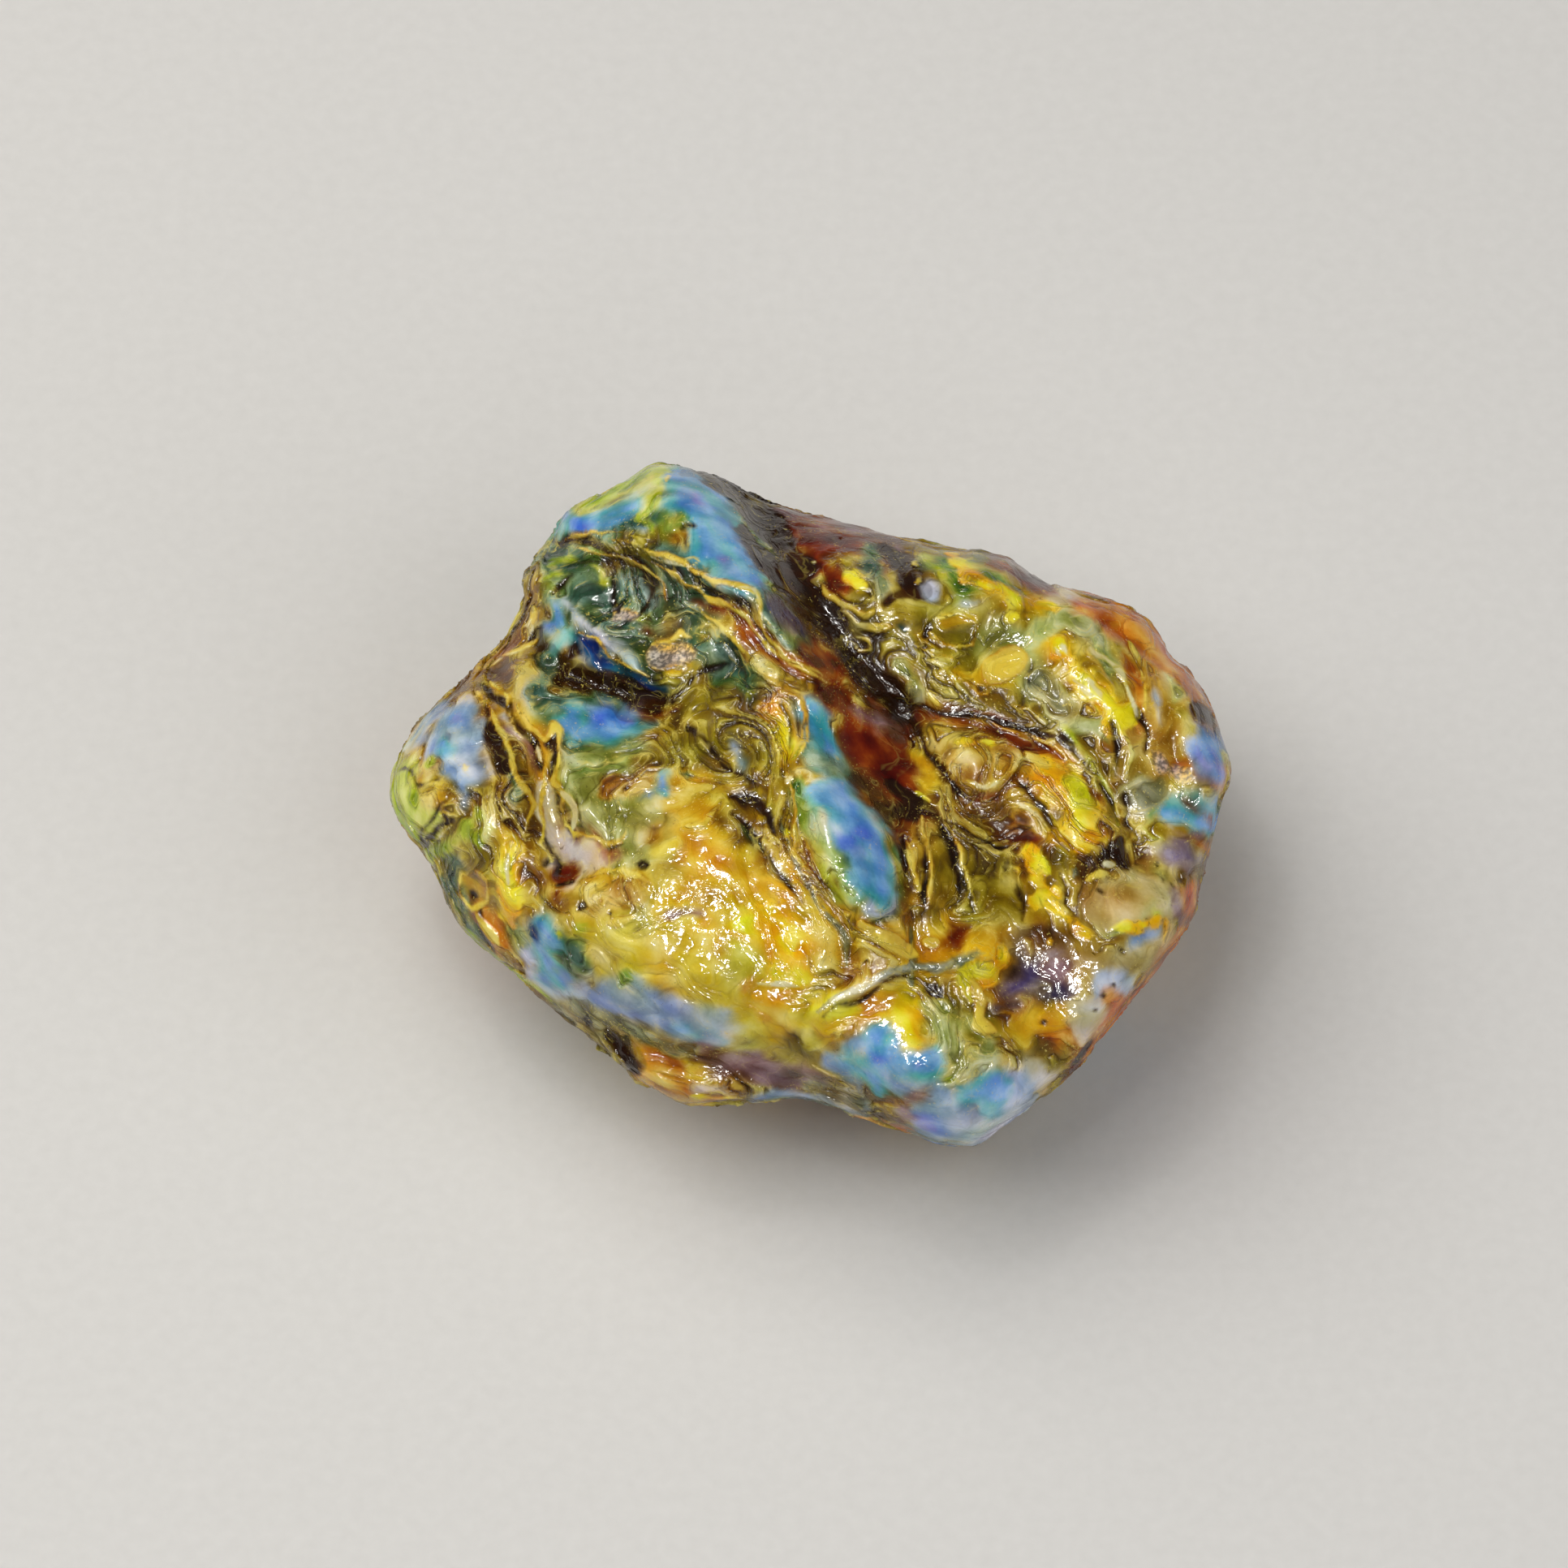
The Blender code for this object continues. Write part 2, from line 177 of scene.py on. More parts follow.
# Brush strokes on the face, each a radius in mm and then u, v, u, v ... in tenths of a mm.
# Broad washes lie under the rest, in this order
washes = [
    ("olive", 7.2, 109, 131, 193, 77, 241, 17), ("bronze", 5.1, 79, 17, 121, -31),
    ("olive", 4.2, -71, 41, -41, -7), ("bronze", 3.6, -233, 77, -209, 17, -215, -43),
    ("honey", 5.4, -83, -37, -23, -97), ("straw", 3.96, -143, -97, -89, -115, -41, -151),
    ("olive", 3.6, -299, 5, -263, -43, -227, -91), ("sage", 3.6, -155, 23, -137, -31),
    ("honey", 2.4, 79, -106, 127, -106), ("olive", 2.64, 109, -37, 136, -67),
    ("olive", 3.0, 91, -163, 115, -181), ("tan", 3.12, 259, 95, 241, 23),
    ("bronze", 2.4, 205, -31, 223, -43), ("teal", 2.4, -59, 209, -32, 173),
    ("azure", 3.12, -85, 228, -64, 206), ("azure", 2.76, -76, 181, -56, 170),
    ("azure", 1.8, -179, 208, -152, 206, -134, 215), ("cobalt", 0.84, -158, 206, -139, 210),
    ("haze", 1.2, -128, 233, -122, 209), ("lime", 1.62, -176, 223, -152, 239, -119, 245),
    ("tan", 0.72, -167, 226, -143, 229), ("green", 0.9, -107, 203, -92, 209),
    ("mauve", 0.48, -59, 238, -23, 221, 25, 207, 61, 199), ("umber", 0.78, -89, 246, -56, 234),
    ("rust", 2.76, -17, 192, 19, 192, 43, 179), ("umber", 1.8, -44, 228, -31, 209, -17, 179),
    ("umber", 2.04, -26, 179, 1, 146, 31, 110, 58, 77), ("umber", 1.2, 58, 77, 67, 53),
    ("rust", 1.68, -41, 119, -8, 98, 19, 83), ("green", 1.02, -29, 149, -8, 119),
    ("rust", 0.66, 73, 71, 121, 56, 175, 35, 208, 2), ("rust", 2.64, 47, 50, 52, 17, 61, 2),
    ("umber", 1.08, 40, 17, 67, -7), ("teal", 3.6, -167, 149, -131, 137, -101, 158),
    ("green", 1.68, -185, 170, -161, 179), ("sage", 0.9, -196, 177, -175, 185),
    ("umber", 0.72, -152, 179, -122, 166, -116, 146), ("bronze", 1.2, -145, 170, -146, 146),
    ("bronze", 1.32, -119, 146, -109, 131), ("navy", 1.02, -166, 114, -146, 96, -119, 83),
    ("teal", 1.2, -77, 113, -65, 104), ("umber", 1.44, -191, 101, -155, 82, -125, 73),
    ("tan", 0.78, -64, 128, -50, 110, -32, 96, -8, 86), ("ember", 0.66, -50, 132, -32, 114, -8, 100),
    ("teal", 1.08, -56, 98, -38, 94), ("teal", 2.04, -185, 62, -170, 44),
    ("azure", 1.44, -158, 61, -136, 59), ("cobalt", 0.96, -151, 63, -133, 60),
    ("green", 0.96, -161, 32, -140, 38), ("haze", 2.04, -266, 53, -253, 35),
    ("haze", 1.2, -254, 56, -248, 23), ("lime", 1.56, -299, 23, -296, -7), ("tan", 1.2, -281, 38, -278, -1),
    ("bronze", 1.32, -263, 78, -233, 83), ("umber", 0.66, -227, 50, -223, 32),
    ("honey", 1.08, -232, 77, -206, 53, -193, 17), ("cream", 0.78, -193, 2, -184, -19, -179, -36),
    ("cream", 1.2, -178, -36, -157, -44), ("cream", 0.42, -154, -43, -139, -37),
    ("flash", 1.02, -220, -28, -218, -58, -215, -72), ("teal", 0.66, -263, -43, -254, -73),
    ("honey", 0.78, -253, -58, -239, -64), ("ember", 0.78, -239, -79, -224, -103),
    ("rust", 0.66, -179, -52, -177, -55), ("honey", 1.5, -152, -60, -125, -62),
    ("tan", 0.96, -146, -65, -137, -65), ("sage", 1.92, -191, -97, -179, -121),
    ("haze", 1.2, -199, -91, -191, -97), ("milk", 1.32, -191, -127, -170, -140),
    ("green", 0.66, -169, -103, -166, -112), ("haze", 1.5, -149, -144, -107, -157, -71, -168),
    ("azure", 0.54, -97, -164, -70, -172), ("straw", 1.68, -119, -85, -77, -106),
    ("honey", 1.8, -71, -43, -41, -61), ("glow", 1.44, -41, -84, -23, -91, -13, -115),
    ("ember", 0.9, -47, -137, -14, -148), ("slate", 1.2, -179, -152, -143, -165, -95, -180),
    ("umber", 0.72, -143, -178, -128, -190), ("ember", 1.26, -113, -191, -89, -202),
    ("mauve", 0.96, -71, -187, -35, -194, 1, -208), ("haze", 0.78, 7, -214, 37, -224),
    ("azure", 1.5, 3, 62, 8, 29), ("cobalt", 1.02, 4, 68, 7, 53), ("teal", 0.9, -1, 14, 3, 11),
    ("sage", 1.02, -8, 8, 19, 4), ("green", 0.84, 1, -7, 19, -49, 46, -82),
    ("azure", 1.92, 22, -14, 38, -52), ("cobalt", 0.96, 26, -31, 31, -38), ("teal", 0.9, 46, -66, 55, -78),
    ("bronze", 1.32, -56, -7, -38, -37), ("flash", 0.9, -25, 65, -17, 38),
    ("olive", 1.56, 28, 173, 34, 155), ("teal", 0.84, 47, 181, 53, 162), ("umber", 1.14, 67, 179, 76, 162),
    ("green", 1.44, 100, 173, 115, 160), ("sage", 1.68, 133, 119, 163, 113),
    ("straw", 1.32, 133, 98, 151, 95), ("flash", 1.02, 116, 172, 142, 155, 175, 143),
    ("mauve", 0.72, 139, 179, 163, 167), ("cream", 0.9, 181, 152, 208, 146),
    ("ember", 1.5, 218, 144, 253, 125, 269, 102), ("rust", 0.66, 257, 126, 284, 90, 301, 65),
    ("ember", 1.14, 274, 92, 292, 72), ("flash", 1.26, 182, 114, 205, 88, 221, 64),
    ("sage", 1.44, 173, 84, 179, 70), ("flash", 1.92, 176, 12, 193, -14), ("umber", 0.84, 287, 71, 301, 56),
    ("cobalt", 1.02, 289, 44, 298, 35), ("plum", 0.9, 289, 20, 296, 17), ("ember", 0.78, 269, 24, 274, 20),
    ("slate", 1.38, 242, 5, 247, -1), ("azure", 1.14, 268, -4, 290, -13),
    ("plum", 1.38, 268, -34, 278, -42), ("fog", 1.92, 217, -74, 256, -65),
    ("fog", 2.04, 256, -94, 232, -121, 211, -134), ("dusk", 2.04, 145, -124, 175, -118),
    ("mauve", 1.08, 179, -117, 184, -124), ("ember", 1.5, 161, -162, 194, -169),
    ("rust", 0.6, 281, -62, 274, -98, 243, -135, 209, -173, 190, -195),
    ("flash", 1.44, 118, -124, 128, -116), ("sage", 2.04, 101, -174, 115, -192),
    ("glow", 1.62, 13, -157, 43, -146, 65, -154), ("azure", 2.28, 50, -182, 74, -194),
    ("cobalt", 1.2, 52, -177, 61, -184), ("haze", 2.28, 91, -228, 128, -230),
    ("azure", 1.44, 127, -207, 134, -210), ("milk", 1.92, 121, -242, 151, -224),
    ("cream", 1.02, 157, -198, 163, -200), ("mauve", 0.66, 71, -222, 75, -226),
    ("teal", 0.84, -185, -103, -177, -120), ("milk", 0.66, -201, -108, -191, -124),
    ("umber", 0.78, -26, 173, 4, 140, 34, 106, 61, 72),
]

# The strokes over them, kind by kind
strokes = {
    "tan": [
        (0.54, -63, 124, -55, 112, -43, 100, -30, 89, -13, 85), (0.87, -142, 13, -125, 15, -119, 25),
        (0.49, -10, 21, 21, 12), (0.93, -158, -67, -142, -65, -127, -71), (0.37, -150, -166, -133, -170),
        (1.0, 223, 43, 243, 56, 245, 69), (1.88, 121, 31, 136, 30),
    ],
    "straw": [
        (1.24, -137, -100, -121, -110, -129, -118), (0.62, -100, -30, -110, -36),
        (0.62, -100, -104, -84, -112, -76, -127), (0.58, -53, -141, -30, -143),
        (0.67, -23, -153, -4, -160, 1, -176),
    ],
    "honey": [
        (1.28, -67, -46, -47, -50, -49, -69), (0.7, -77, -92, -63, -110), (0.58, -38, -137, -13, -139),
        (0.46, -117, -207, -100, -216, -76, -220), (0.95, -121, -178, -100, -189, -80, -195),
        (0.41, -292, 21, -274, 9, -272, -4), (0.29, -106, 96, -96, 94, -88, 103), (0.26, 74, 125, 92, 114),
        (0.93, 81, 30, 85, 14), (0.62, -8, 180, 0, 178), (0.62, 1, -124, -10, -138),
        (1.07, 150, -169, 167, -160, 181, -153), (0.83, -98, -63, -117, -79), (0.67, 101, 92, 119, 94),
        (0.53, 119, 136, 101, 138), (0.48, 217, -81, 226, -85),
    ],
    "sage": [
        (0.93, 167, 127, 185, 136, 201, 127),
        (0.29, 150, 124, 161, 123, 165, 116, 154, 114, 136, 116, 130, 108), (0.85, 196, 56, 212, 58),
        (0.67, 265, 94, 272, 81), (0.4, 307, 38, 308, 30), (0.58, 65, 100, 74, 89, 72, 78),
        (1.51, 218, -84, 243, -71, 256, -62), (1.02, 88, -153, 97, -178, 110, -191, 101, -200),
        (0.54, -170, 31, -152, 33, -137, 40), (0.25, -86, 126, -76, 126, -67, 120),
        (0.53, 212, 114, 218, 100), (0.54, -216, -92, -208, -104), (0.72, 236, -55, 248, -65),
    ],
    "fog": [
        (1.68, 212, -80, 239, -65, 265, -69), (1.2, 253, -97, 226, -118), (0.98, 256, -84, 265, -80),
        (1.37, 199, -118, 221, -122, 241, -111), (0.9, 212, -66, 229, -74), (0.72, 257, -62, 268, -73),
    ],
    "cream": [
        (0.62, -195, 8, -191, -6, -185, -18), (0.95, -187, -21, -170, -31, -154, -40),
        (0.33, -166, -48, -175, -60), (0.54, -296, 44, -286, 56, -276, 66),
        (1.07, 199, -147, 209, -156, 196, -169), (0.5, -82, -205, -65, -208), (0.58, 190, 154, 201, 145),
        (0.8, 154, -200, 167, -208), (1.02, -178, -31, -163, -37), (0.54, -194, -7, -185, -25),
    ],
    "haze": [
        (0.99, -280, 48, -269, 63, -255, 65), (0.33, -115, 4, -117, 3), (0.19, -59, 46, -53, 31, -49, 17),
        (0.62, -154, -139, -137, -150, -117, -156, -92, -164, -71, -172), (0.66, -125, -133, -109, -145),
        (0.5, -44, -216, -24, -213, -1, -216), (1.24, 83, -229, 101, -238, 119, -240),
        (0.93, 65, -200, 83, -208), (0.29, 112, 149, 124, 148), (0.58, 17, -191, 34, -207),
        (0.9, -255, 46, -245, 42, -255, 27), (0.48, -263, 21, -253, 9, -255, 0),
        (1.08, 91, -218, 106, -226), (0.54, 238, -103, 250, -97),
    ],
    "milk": [
        (0.35, -179, 147, -170, 137, -160, 126, -152, 116, -137, 106, -127, 96),
        (0.62, -203, -108, -199, -127, -183, -139, -170, -141), (1.15, 145, -208, 154, -218, 136, -233),
        (0.89, 54, -71, 43, -78), (0.18, 252, 87, 254, 69, 256, 60), (0.53, 85, 161, 90, 157),
        (0.17, -229, 77, -220, 63, -208, 46), (0.98, 209, -131, 227, -135), (0.48, -260, 31, -249, 24),
        (1.2, 109, -234, 133, -242), (0.42, 19, -13, 25, -25),
    ],
    "rust": [
        (0.37, -86, 145, -69, 145, -55, 140, -43, 126, -30, 110, -13, 96),
        (1.13, -30, 205, -13, 199, -1, 189), (0.27, -133, 70, -117, 66, -100, 66),
        (0.31, -89, 243, -85, 242), (0.33, -122, 124, -117, 126), (1.15, -17, 200, -1, 192, 16, 196),
        (1.11, -19, 189, -4, 171), (0.44, 19, 176, 21, 154), (1.64, 34, 56, 50, 34, 61, 12),
        (0.85, 8, 76, 25, 69, 43, 47), (0.8, -10, 127, 5, 109, 19, 92), (0.31, 97, 72, 132, 65, 154, 56),
        (0.26, 121, 5, 136, 8), (0.31, 220, 77, 223, 76), (0.66, -183, -50, -175, -48),
        (0.29, -186, -65, -181, -72), (0.33, -250, -67, -246, -67), (0.67, 107, -100, 101, -98),
        (0.31, 283, -62, 276, -89, 263, -115, 243, -135), (0.4, 225, -158, 205, -182, 190, -198),
        (0.35, 145, -26, 167, -26), (0.19, -183, 3, -179, -16, -170, -25, -163, -18),
        (0.19, -158, -20, -152, -38, -137, -34), (0.53, 136, 178, 154, 171, 176, 162),
        (0.54, -180, -48, -177, -51), (1.2, -5, 202, 31, 192), (0.54, 7, 173, 19, 158),
    ],
    "ember": [
        (0.89, 199, 145, 225, 138, 247, 125, 263, 105, 281, 92, 294, 73, 299, 63),
        (0.22, 230, 109, 238, 92, 241, 72), (0.49, 301, 14, 306, 21), (0.31, 281, -26, 294, -35, 292, -51),
        (0.67, 216, -142, 227, -147, 221, -160, 208, -180),
        (0.58, 281, -71, 272, -98, 254, -124, 232, -151), (0.22, 32, -233, 52, -238, 70, -242),
        (0.62, -113, -184, -96, -193), (0.31, 241, 58, 238, 50), (0.54, 274, -79, 278, -63),
    ],
    "teal": [
        (1.53, -189, 178, -170, 168, -154, 153, -142, 141), (1.24, -137, 162, -125, 151, -113, 137),
        (0.91, -86, 115, -73, 118, -65, 110), (0.95, -67, 92, -50, 93, -47, 83),
        (0.93, -195, 73, -179, 70, -158, 75), (0.62, -175, 42, -158, 44, -137, 46),
        (0.5, -179, 200, -154, 200, -133, 204, -117, 209), (0.62, -47, 207, -38, 191, -26, 180),
        (0.87, -36, 149, -24, 135, -13, 120), (0.46, -220, 25, -216, 9), (0.27, -91, 19, -88, 19),
        (0.44, 41, 192, 50, 174, 56, 158), (0.89, -1, 31, 19, 27),
        (0.37, -266, -46, -263, -67, -253, -83, -236, -100), (0.25, -49, -19, -30, -42, -10, -63),
        (0.79, -170, -106, -175, -120), (0.58, 3, -13, 19, -45), (0.83, -195, 100, -203, 83),
        (0.6, 44, -55, 52, -73),
    ],
    "green": [
        (0.54, -109, 200, -98, 208, -84, 209), (0.4, 94, 183, 101, 167, 119, 156),
        (0.31, 119, 178, 136, 165, 158, 154), (0.41, -133, -124, -137, -133),
        (0.22, 52, -29, 65, -54, 65, -71), (0.26, -10, 2, 5, -24, 17, -46, 30, -71), (0.62, -10, 11, -1, 3),
        (0.29, -148, 75, -137, 63), (0.44, -17, 133, -8, 116), (0.35, 252, 0, 247, -15),
        (0.48, -49, 204, -39, 179, -29, 160), (0.42, 5, -14, 11, -37, 25, -65),
    ],
    "azure": [
        (1.57, -94, 234, -80, 223, -67, 209), (1.73, -82, 193, -65, 182, -50, 172),
        (1.07, -63, 203, -49, 186, -37, 168), (0.7, -181, 213, -173, 206, -158, 207, -142, 214, -131, 219),
        (0.41, -191, 147, -185, 137, -182, 124, -189, 110), (0.87, -179, 60, -170, 50, -146, 50, -133, 58),
        (0.35, -106, 23, -104, 3), (0.89, 1, 69, 8, 54, 10, 40),
        (1.33, 17, 5, 30, -8, 38, -29, 43, -46, 50, -61), (0.76, 263, -8, 278, -11, 294, -17),
        (0.95, -195, -92, -191, -106), (0.83, -191, -118, -181, -129), (0.27, -100, -162, -80, -170),
        (1.24, 43, -169, 59, -178, 74, -186, 83, -191), (0.98, 34, -189, 50, -208),
        (0.93, 114, -211, 130, -204, 136, -211, 128, -222), (0.48, -268, 47, -262, 38),
    ],
    "cobalt": [
        (0.31, -170, 204, -158, 205, -142, 209), (0.66, -160, 60, -150, 65, -137, 61),
        (0.2, -196, 126, -191, 129), (0.76, 287, 44, 298, 36), (0.58, 20, -26, 34, -22),
        (0.44, 265, -8, 281, -13), (0.62, 34, -176, 50, -182), (0.54, -197, -92, -191, -98),
    ],
    "navy": [
        (0.54, -166, 119, -158, 106, -142, 96, -127, 87, -110, 83), (0.35, 67, 128, 72, 122),
        (0.33, -206, -90, -202, -100),
    ],
    "violet": [
        (0.29, -164, 61, -161, 59), (0.31, -131, 61, -127, 59), (0.58, 285, 45, 287, 25, 301, 19),
        (0.38, 76, -188, 80, -190), (0.41, -61, 170, -67, 178), (0.37, -86, 228, -80, 222),
        (0.54, -263, 61, -254, 55), (0.6, 80, -232, 91, -238), (0.36, 29, -31, 34, -40),
    ],
    "plum": [
        (0.93, 141, -138, 154, -129, 176, -118), (0.58, 136, -151, 150, -147),
        (0.85, 263, -37, 278, -39, 287, -42), (0.49, 172, -139, 187, -136), (0.67, -23, 145, -8, 127),
    ],
    "mauve": [
        (0.25, -224, 62, -212, 48, -205, 34, -201, 18), (0.46, -53, 232, -34, 223, -16, 215),
        (0.53, -23, 216, -1, 207, 21, 202, 50, 196, 65, 192), (0.44, 30, 73, 46, 63, 63, 52),
        (0.29, -106, -81, -80, -83), (0.7, -80, -180, -63, -184, -47, -189, -30, -195, -1, -205),
        (0.49, 65, -229, 74, -216, 83, -213), (0.67, 172, -122, 183, -122), (0.53, 269, -67, 273, -84),
        (0.22, 272, 0, 285, -8, 296, -15), (0.18, 260, -17, 276, -24, 294, -26),
    ],
    "slate": [
        (0.62, -179, -150, -154, -157, -127, -166, -100, -177, -88, -180), (0.93, 236, 3, 254, 8),
        (0.98, 172, 87, 181, 73, 187, 69), (0.4, 116, 183, 132, 180), (0.53, -1, -208, 21, -216, 37, -222),
    ],
    "steel": [
        (0.2, -23, -2, -10, -45, 8, -71, 21, -93, 25, -118),
        (0.33, 5, -151, 30, -136, 52, -125, 72, -119, 101, -116, 123, -111),
        (0.25, 74, -89, 74, -107, 71, -124, 72, -133), (0.33, 192, -48, 194, -49),
    ],
    "gold": [
        (0.22, -247, 82, -239, 72, -232, 64, -223, 54, -218, 42, -218, 29, -214, 15, -206, 7, -202, -1,
         -208, -12, -211, -24, -206, -31),
        (0.22, -214, 73, -208, 62, -201, 51, -196, 48, -190, 58, -186, 53, -185, 40, -183, 26, -187, 15,
         -181, 11, -177, 4, -181, -4, -179, -15, -173, -22, -165, -21),
        (0.16, -234, 107, -220, 116, -203, 119), (0.17, -164, -22, -151, -31, -137, -29, -133, -24),
        (0.18, -165, -54, -158, -51, -143, -48, -126, -54, -116, -62, -115, -72),
        (0.18, -257, -54, -245, -51, -237, -58, -236, -70, -248, -76, -257, -68, -257, -54),
        (0.14, -239, 92, -226, 78, -215, 63, -211, 48),
        (0.14, -196, 25, -193, 12, -196, -1, -194, -14, -199, -27, -191, -38),
        (0.2, -151, 196, -128, 191, -112, 184, -96, 176, -86, 166, -70, 160, -54, 157, -41, 150, -36, 138,
         -31, 122, -15, 105, 8, 96),
        (0.16, -133, 188, -119, 180, -106, 170, -92, 156, -77, 149, -61, 144, -47, 136, -41, 124, -28, 112,
         -8, 99, 17, 89), (0.13, -173, 188, -157, 184, -141, 180, -122, 171, -109, 160, -104, 147),
        (0.12, -179, 196, -164, 199, -149, 201, -133, 197, -119, 192),
        (0.12, -82, 142, -68, 132, -58, 122, -49, 112, -34, 102), (0.4, -208, 134, -202, 137),
        (0.13, -170, 126, -158, 118, -148, 106, -131, 97, -119, 93),
        (0.16, -117, 115, -104, 120, -94, 126, -88, 124), (0.19, -106, 238, -104, 238),
        (0.13, -10, 79, -4, 63, -5, 44, -13, 30), (0.25, 5, 161, 19, 147, 39, 138, 47, 142),
        (0.23, 23, 140, 32, 131, 50, 127, 61, 127), (0.13, 32, 122, 43, 118, 44, 111, 34, 111, 30, 116),
        (0.11, 121, 88, 128, 87, 130, 81, 122, 81), (0.93, 132, 99, 154, 105),
        (0.13, 236, 118, 241, 100, 244, 81, 243, 69), (0.26, 161, 34, 176, 21), (0.25, 185, 27, 199, 21),
        (0.13, 81, 81, 92, 73), (0.13, 158, 52, 176, 40, 190, 25), (0.23, 72, -30, 74, -48, 79, -64),
        (0.2, 76, 175, 79, 173), (0.2, 77, 166, 80, 164), (0.28, -243, -79, -235, -92, -224, -106),
        (0.17, -169, -57, -154, -48, -137, -48, -123, -57, -116, -67), (0.67, 34, -89, 50, -98, 70, -107),
        (0.43, 83, -98, 93, -102), (0.4, 114, -131, 121, -147, 119, -162, 132, -169),
        (0.15, -19, 20, -10, -4, -10, -36, 5, -62, 12, -80), (0.22, 203, -54, 216, -49),
        (0.25, -65, 1, -76, -13, -96, -15), (0.37, -129, -83, -146, -87), (0.11, 81, -11, 89, -43, 86, -74),
        (0.11, 104, -20, 113, -50, 118, -78), (0.11, -28, 72, -22, 78, -11, 76, -5, 63, -9, 46, -19, 29),
        (0.1, 91, 137, 109, 142, 121, 131, 115, 118, 97, 115, 88, 125), (0.1, 79, 113, 91, 106, 106, 106),
        (0.1, 145, 77, 163, 72, 172, 59), (0.1, 97, 95, 118, 85, 133, 70), (0.1, 118, 65, 139, 55, 158, 48),
        (0.1, 205, 113, 214, 98, 224, 83), (0.1, 229, 53, 235, 35, 231, 19),
    ],
    "lime": [
        (0.87, -166, 221, -152, 230, -133, 240, -117, 246),
        (0.46, -115, 242, -110, 234, -119, 222, -127, 211), (0.2, -125, 206, -119, 201, -116, 195),
        (0.2, -195, 176, -183, 180, -170, 178), (0.17, -199, 166, -189, 169, -179, 168),
        (0.19, -166, 178, -154, 172, -151, 162), (0.35, -129, 133, -121, 137, -116, 139),
        (0.31, -279, 33, -279, 27), (1.16, -300, 23, -303, 9, -296, -8, -282, -18),
        (0.35, -50, 80, -42, 79), (0.29, 85, 187, 88, 174, 97, 165), (0.13, 241, -17, 250, -26, 260, -26),
        (0.22, 185, 58, 201, 34, 214, 18, 221, -1, 225, -17), (0.58, -278, -38, -262, -29, -251, -18),
        (0.41, -255, -92, -241, -108, -220, -123, -199, -137, -189, -147), (0.25, -183, -94, -179, -94),
        (0.29, -169, -87, -162, -90), (0.13, 97, -202, 110, -204, 120, -198),
        (0.37, -245, -1, -236, -17, -241, -34), (0.3, 250, -81, 254, -91), (0.24, 3, -25, 10, -49, 25, -72),
    ],
    "flash": [
        (1.02, 179, 16, 188, -4, 197, -25), (0.36, 224, -93, 238, -91), (0.3, 249, -92, 253, -89),
        (0.18, 259, -88, 258, -98), (0.3, 174, -106, 178, -103), (0.78, 124, -129, 132, -118, 136, -110),
        (0.42, 118, -137, 112, -146), (0.66, 158, -34, 166, -65), (0.54, 170, -74, 183, -86, 200, -99),
        (0.24, 106, -191, 111, -187), (0.79, -222, -30, -220, -44, -220, -63, -217, -79),
        (0.33, -210, -72, -205, -71), (0.25, -88, -214, -76, -214, -61, -213),
        (0.37, -28, 70, -20, 54, -17, 36), (0.55, 106, 183, 112, 169, 128, 160, 150, 151, 176, 145),
        (0.29, 145, 134, 161, 135), (0.49, 29, 168, 34, 162),
        (0.98, 183, 114, 194, 102, 208, 85, 221, 69, 227, 61),
        (1.02, 174, 21, 185, 14, 194, 12, 190, -6, 195, -19), (0.35, 79, 5, 86, -4),
        (0.18, 106, 45, 121, 43, 145, 43), (0.71, 119, -124, 132, -118, 137, -111),
        (0.18, 106, -193, 119, -187, 123, -180), (0.29, 225, -91, 234, -93, 240, -96),
        (0.25, 246, -89, 254, -88), (0.16, 260, -91, 257, -102), (0.35, 175, -105, 178, -107),
        (0.29, 183, -91, 194, -96, 202, -100), (0.53, 163, -58, 165, -73),
        (0.13, -16, -16, -9, -24, -11, -36, -17, -24, -16, -16), (0.42, 158, -34, 163, -44),
        (0.36, 171, -42, 169, -55), (0.48, 161, -56, 170, -67), (0.3, 176, -61, 178, -72),
        (0.42, 172, -76, 181, -84), (0.36, 158, -69, 164, -81), (0.24, 153, -46, 152, -57),
        (0.3, 185, -86, 194, -92), (0.39, 226, -91, 235, -93), (0.24, 241, -87, 245, -90),
        (0.24, 259, -93, 261, -87),
    ],
    "grain": [
        (0.56, -142, 141, -133, 137), (0.83, -113, 107, -100, 109, -93, 111), (0.71, 266, 22, 274, 16),
        (0.67, 252, 34, 256, 25),
    ],
    "umber": [
        (0.18, -203, 46, -198, 21), (0.24, -249, -65, -244, -67), (0.12, -190, -34, -185, -42, -187, -50),
        (0.16, -271, -9, -265, -18), (0.18, -118, 184, -103, 171, -86, 157, -64, 150, -46, 143),
        (0.16, -92, 166, -79, 155, -58, 150, -45, 142, -39, 128, -25, 113),
        (0.35, -189, 194, -175, 196, -160, 193, -148, 182, -127, 178, -119, 166, -119, 153),
        (0.19, -100, 200, -94, 203, -88, 203), (0.87, -77, 246, -57, 236, -34, 224),
        (0.62, -50, 205, -43, 186, -24, 166, -1, 145), (0.19, -125, 166, -120, 156, -123, 145, -129, 135),
        (0.2, -145, 166, -149, 153, -143, 142), (0.19, -191, 153, -179, 165, -174, 170),
        (0.27, -199, 126, -208, 120), (0.66, -187, 91, -170, 95, -154, 89, -137, 81, -117, 74),
        (0.41, -175, 114, -181, 103), (0.29, -121, 76, -104, 75, -92, 82, -80, 93, -59, 101),
        (0.1, -301, 25, -288, 15, -272, 13), (0.13, -286, -29, -282, -14, -274, -4, -266, 2),
        (0.25, -282, -30, -275, -18, -263, -14), (0.37, -243, 87, -235, 76, -220, 70, -210, 56, -203, 42),
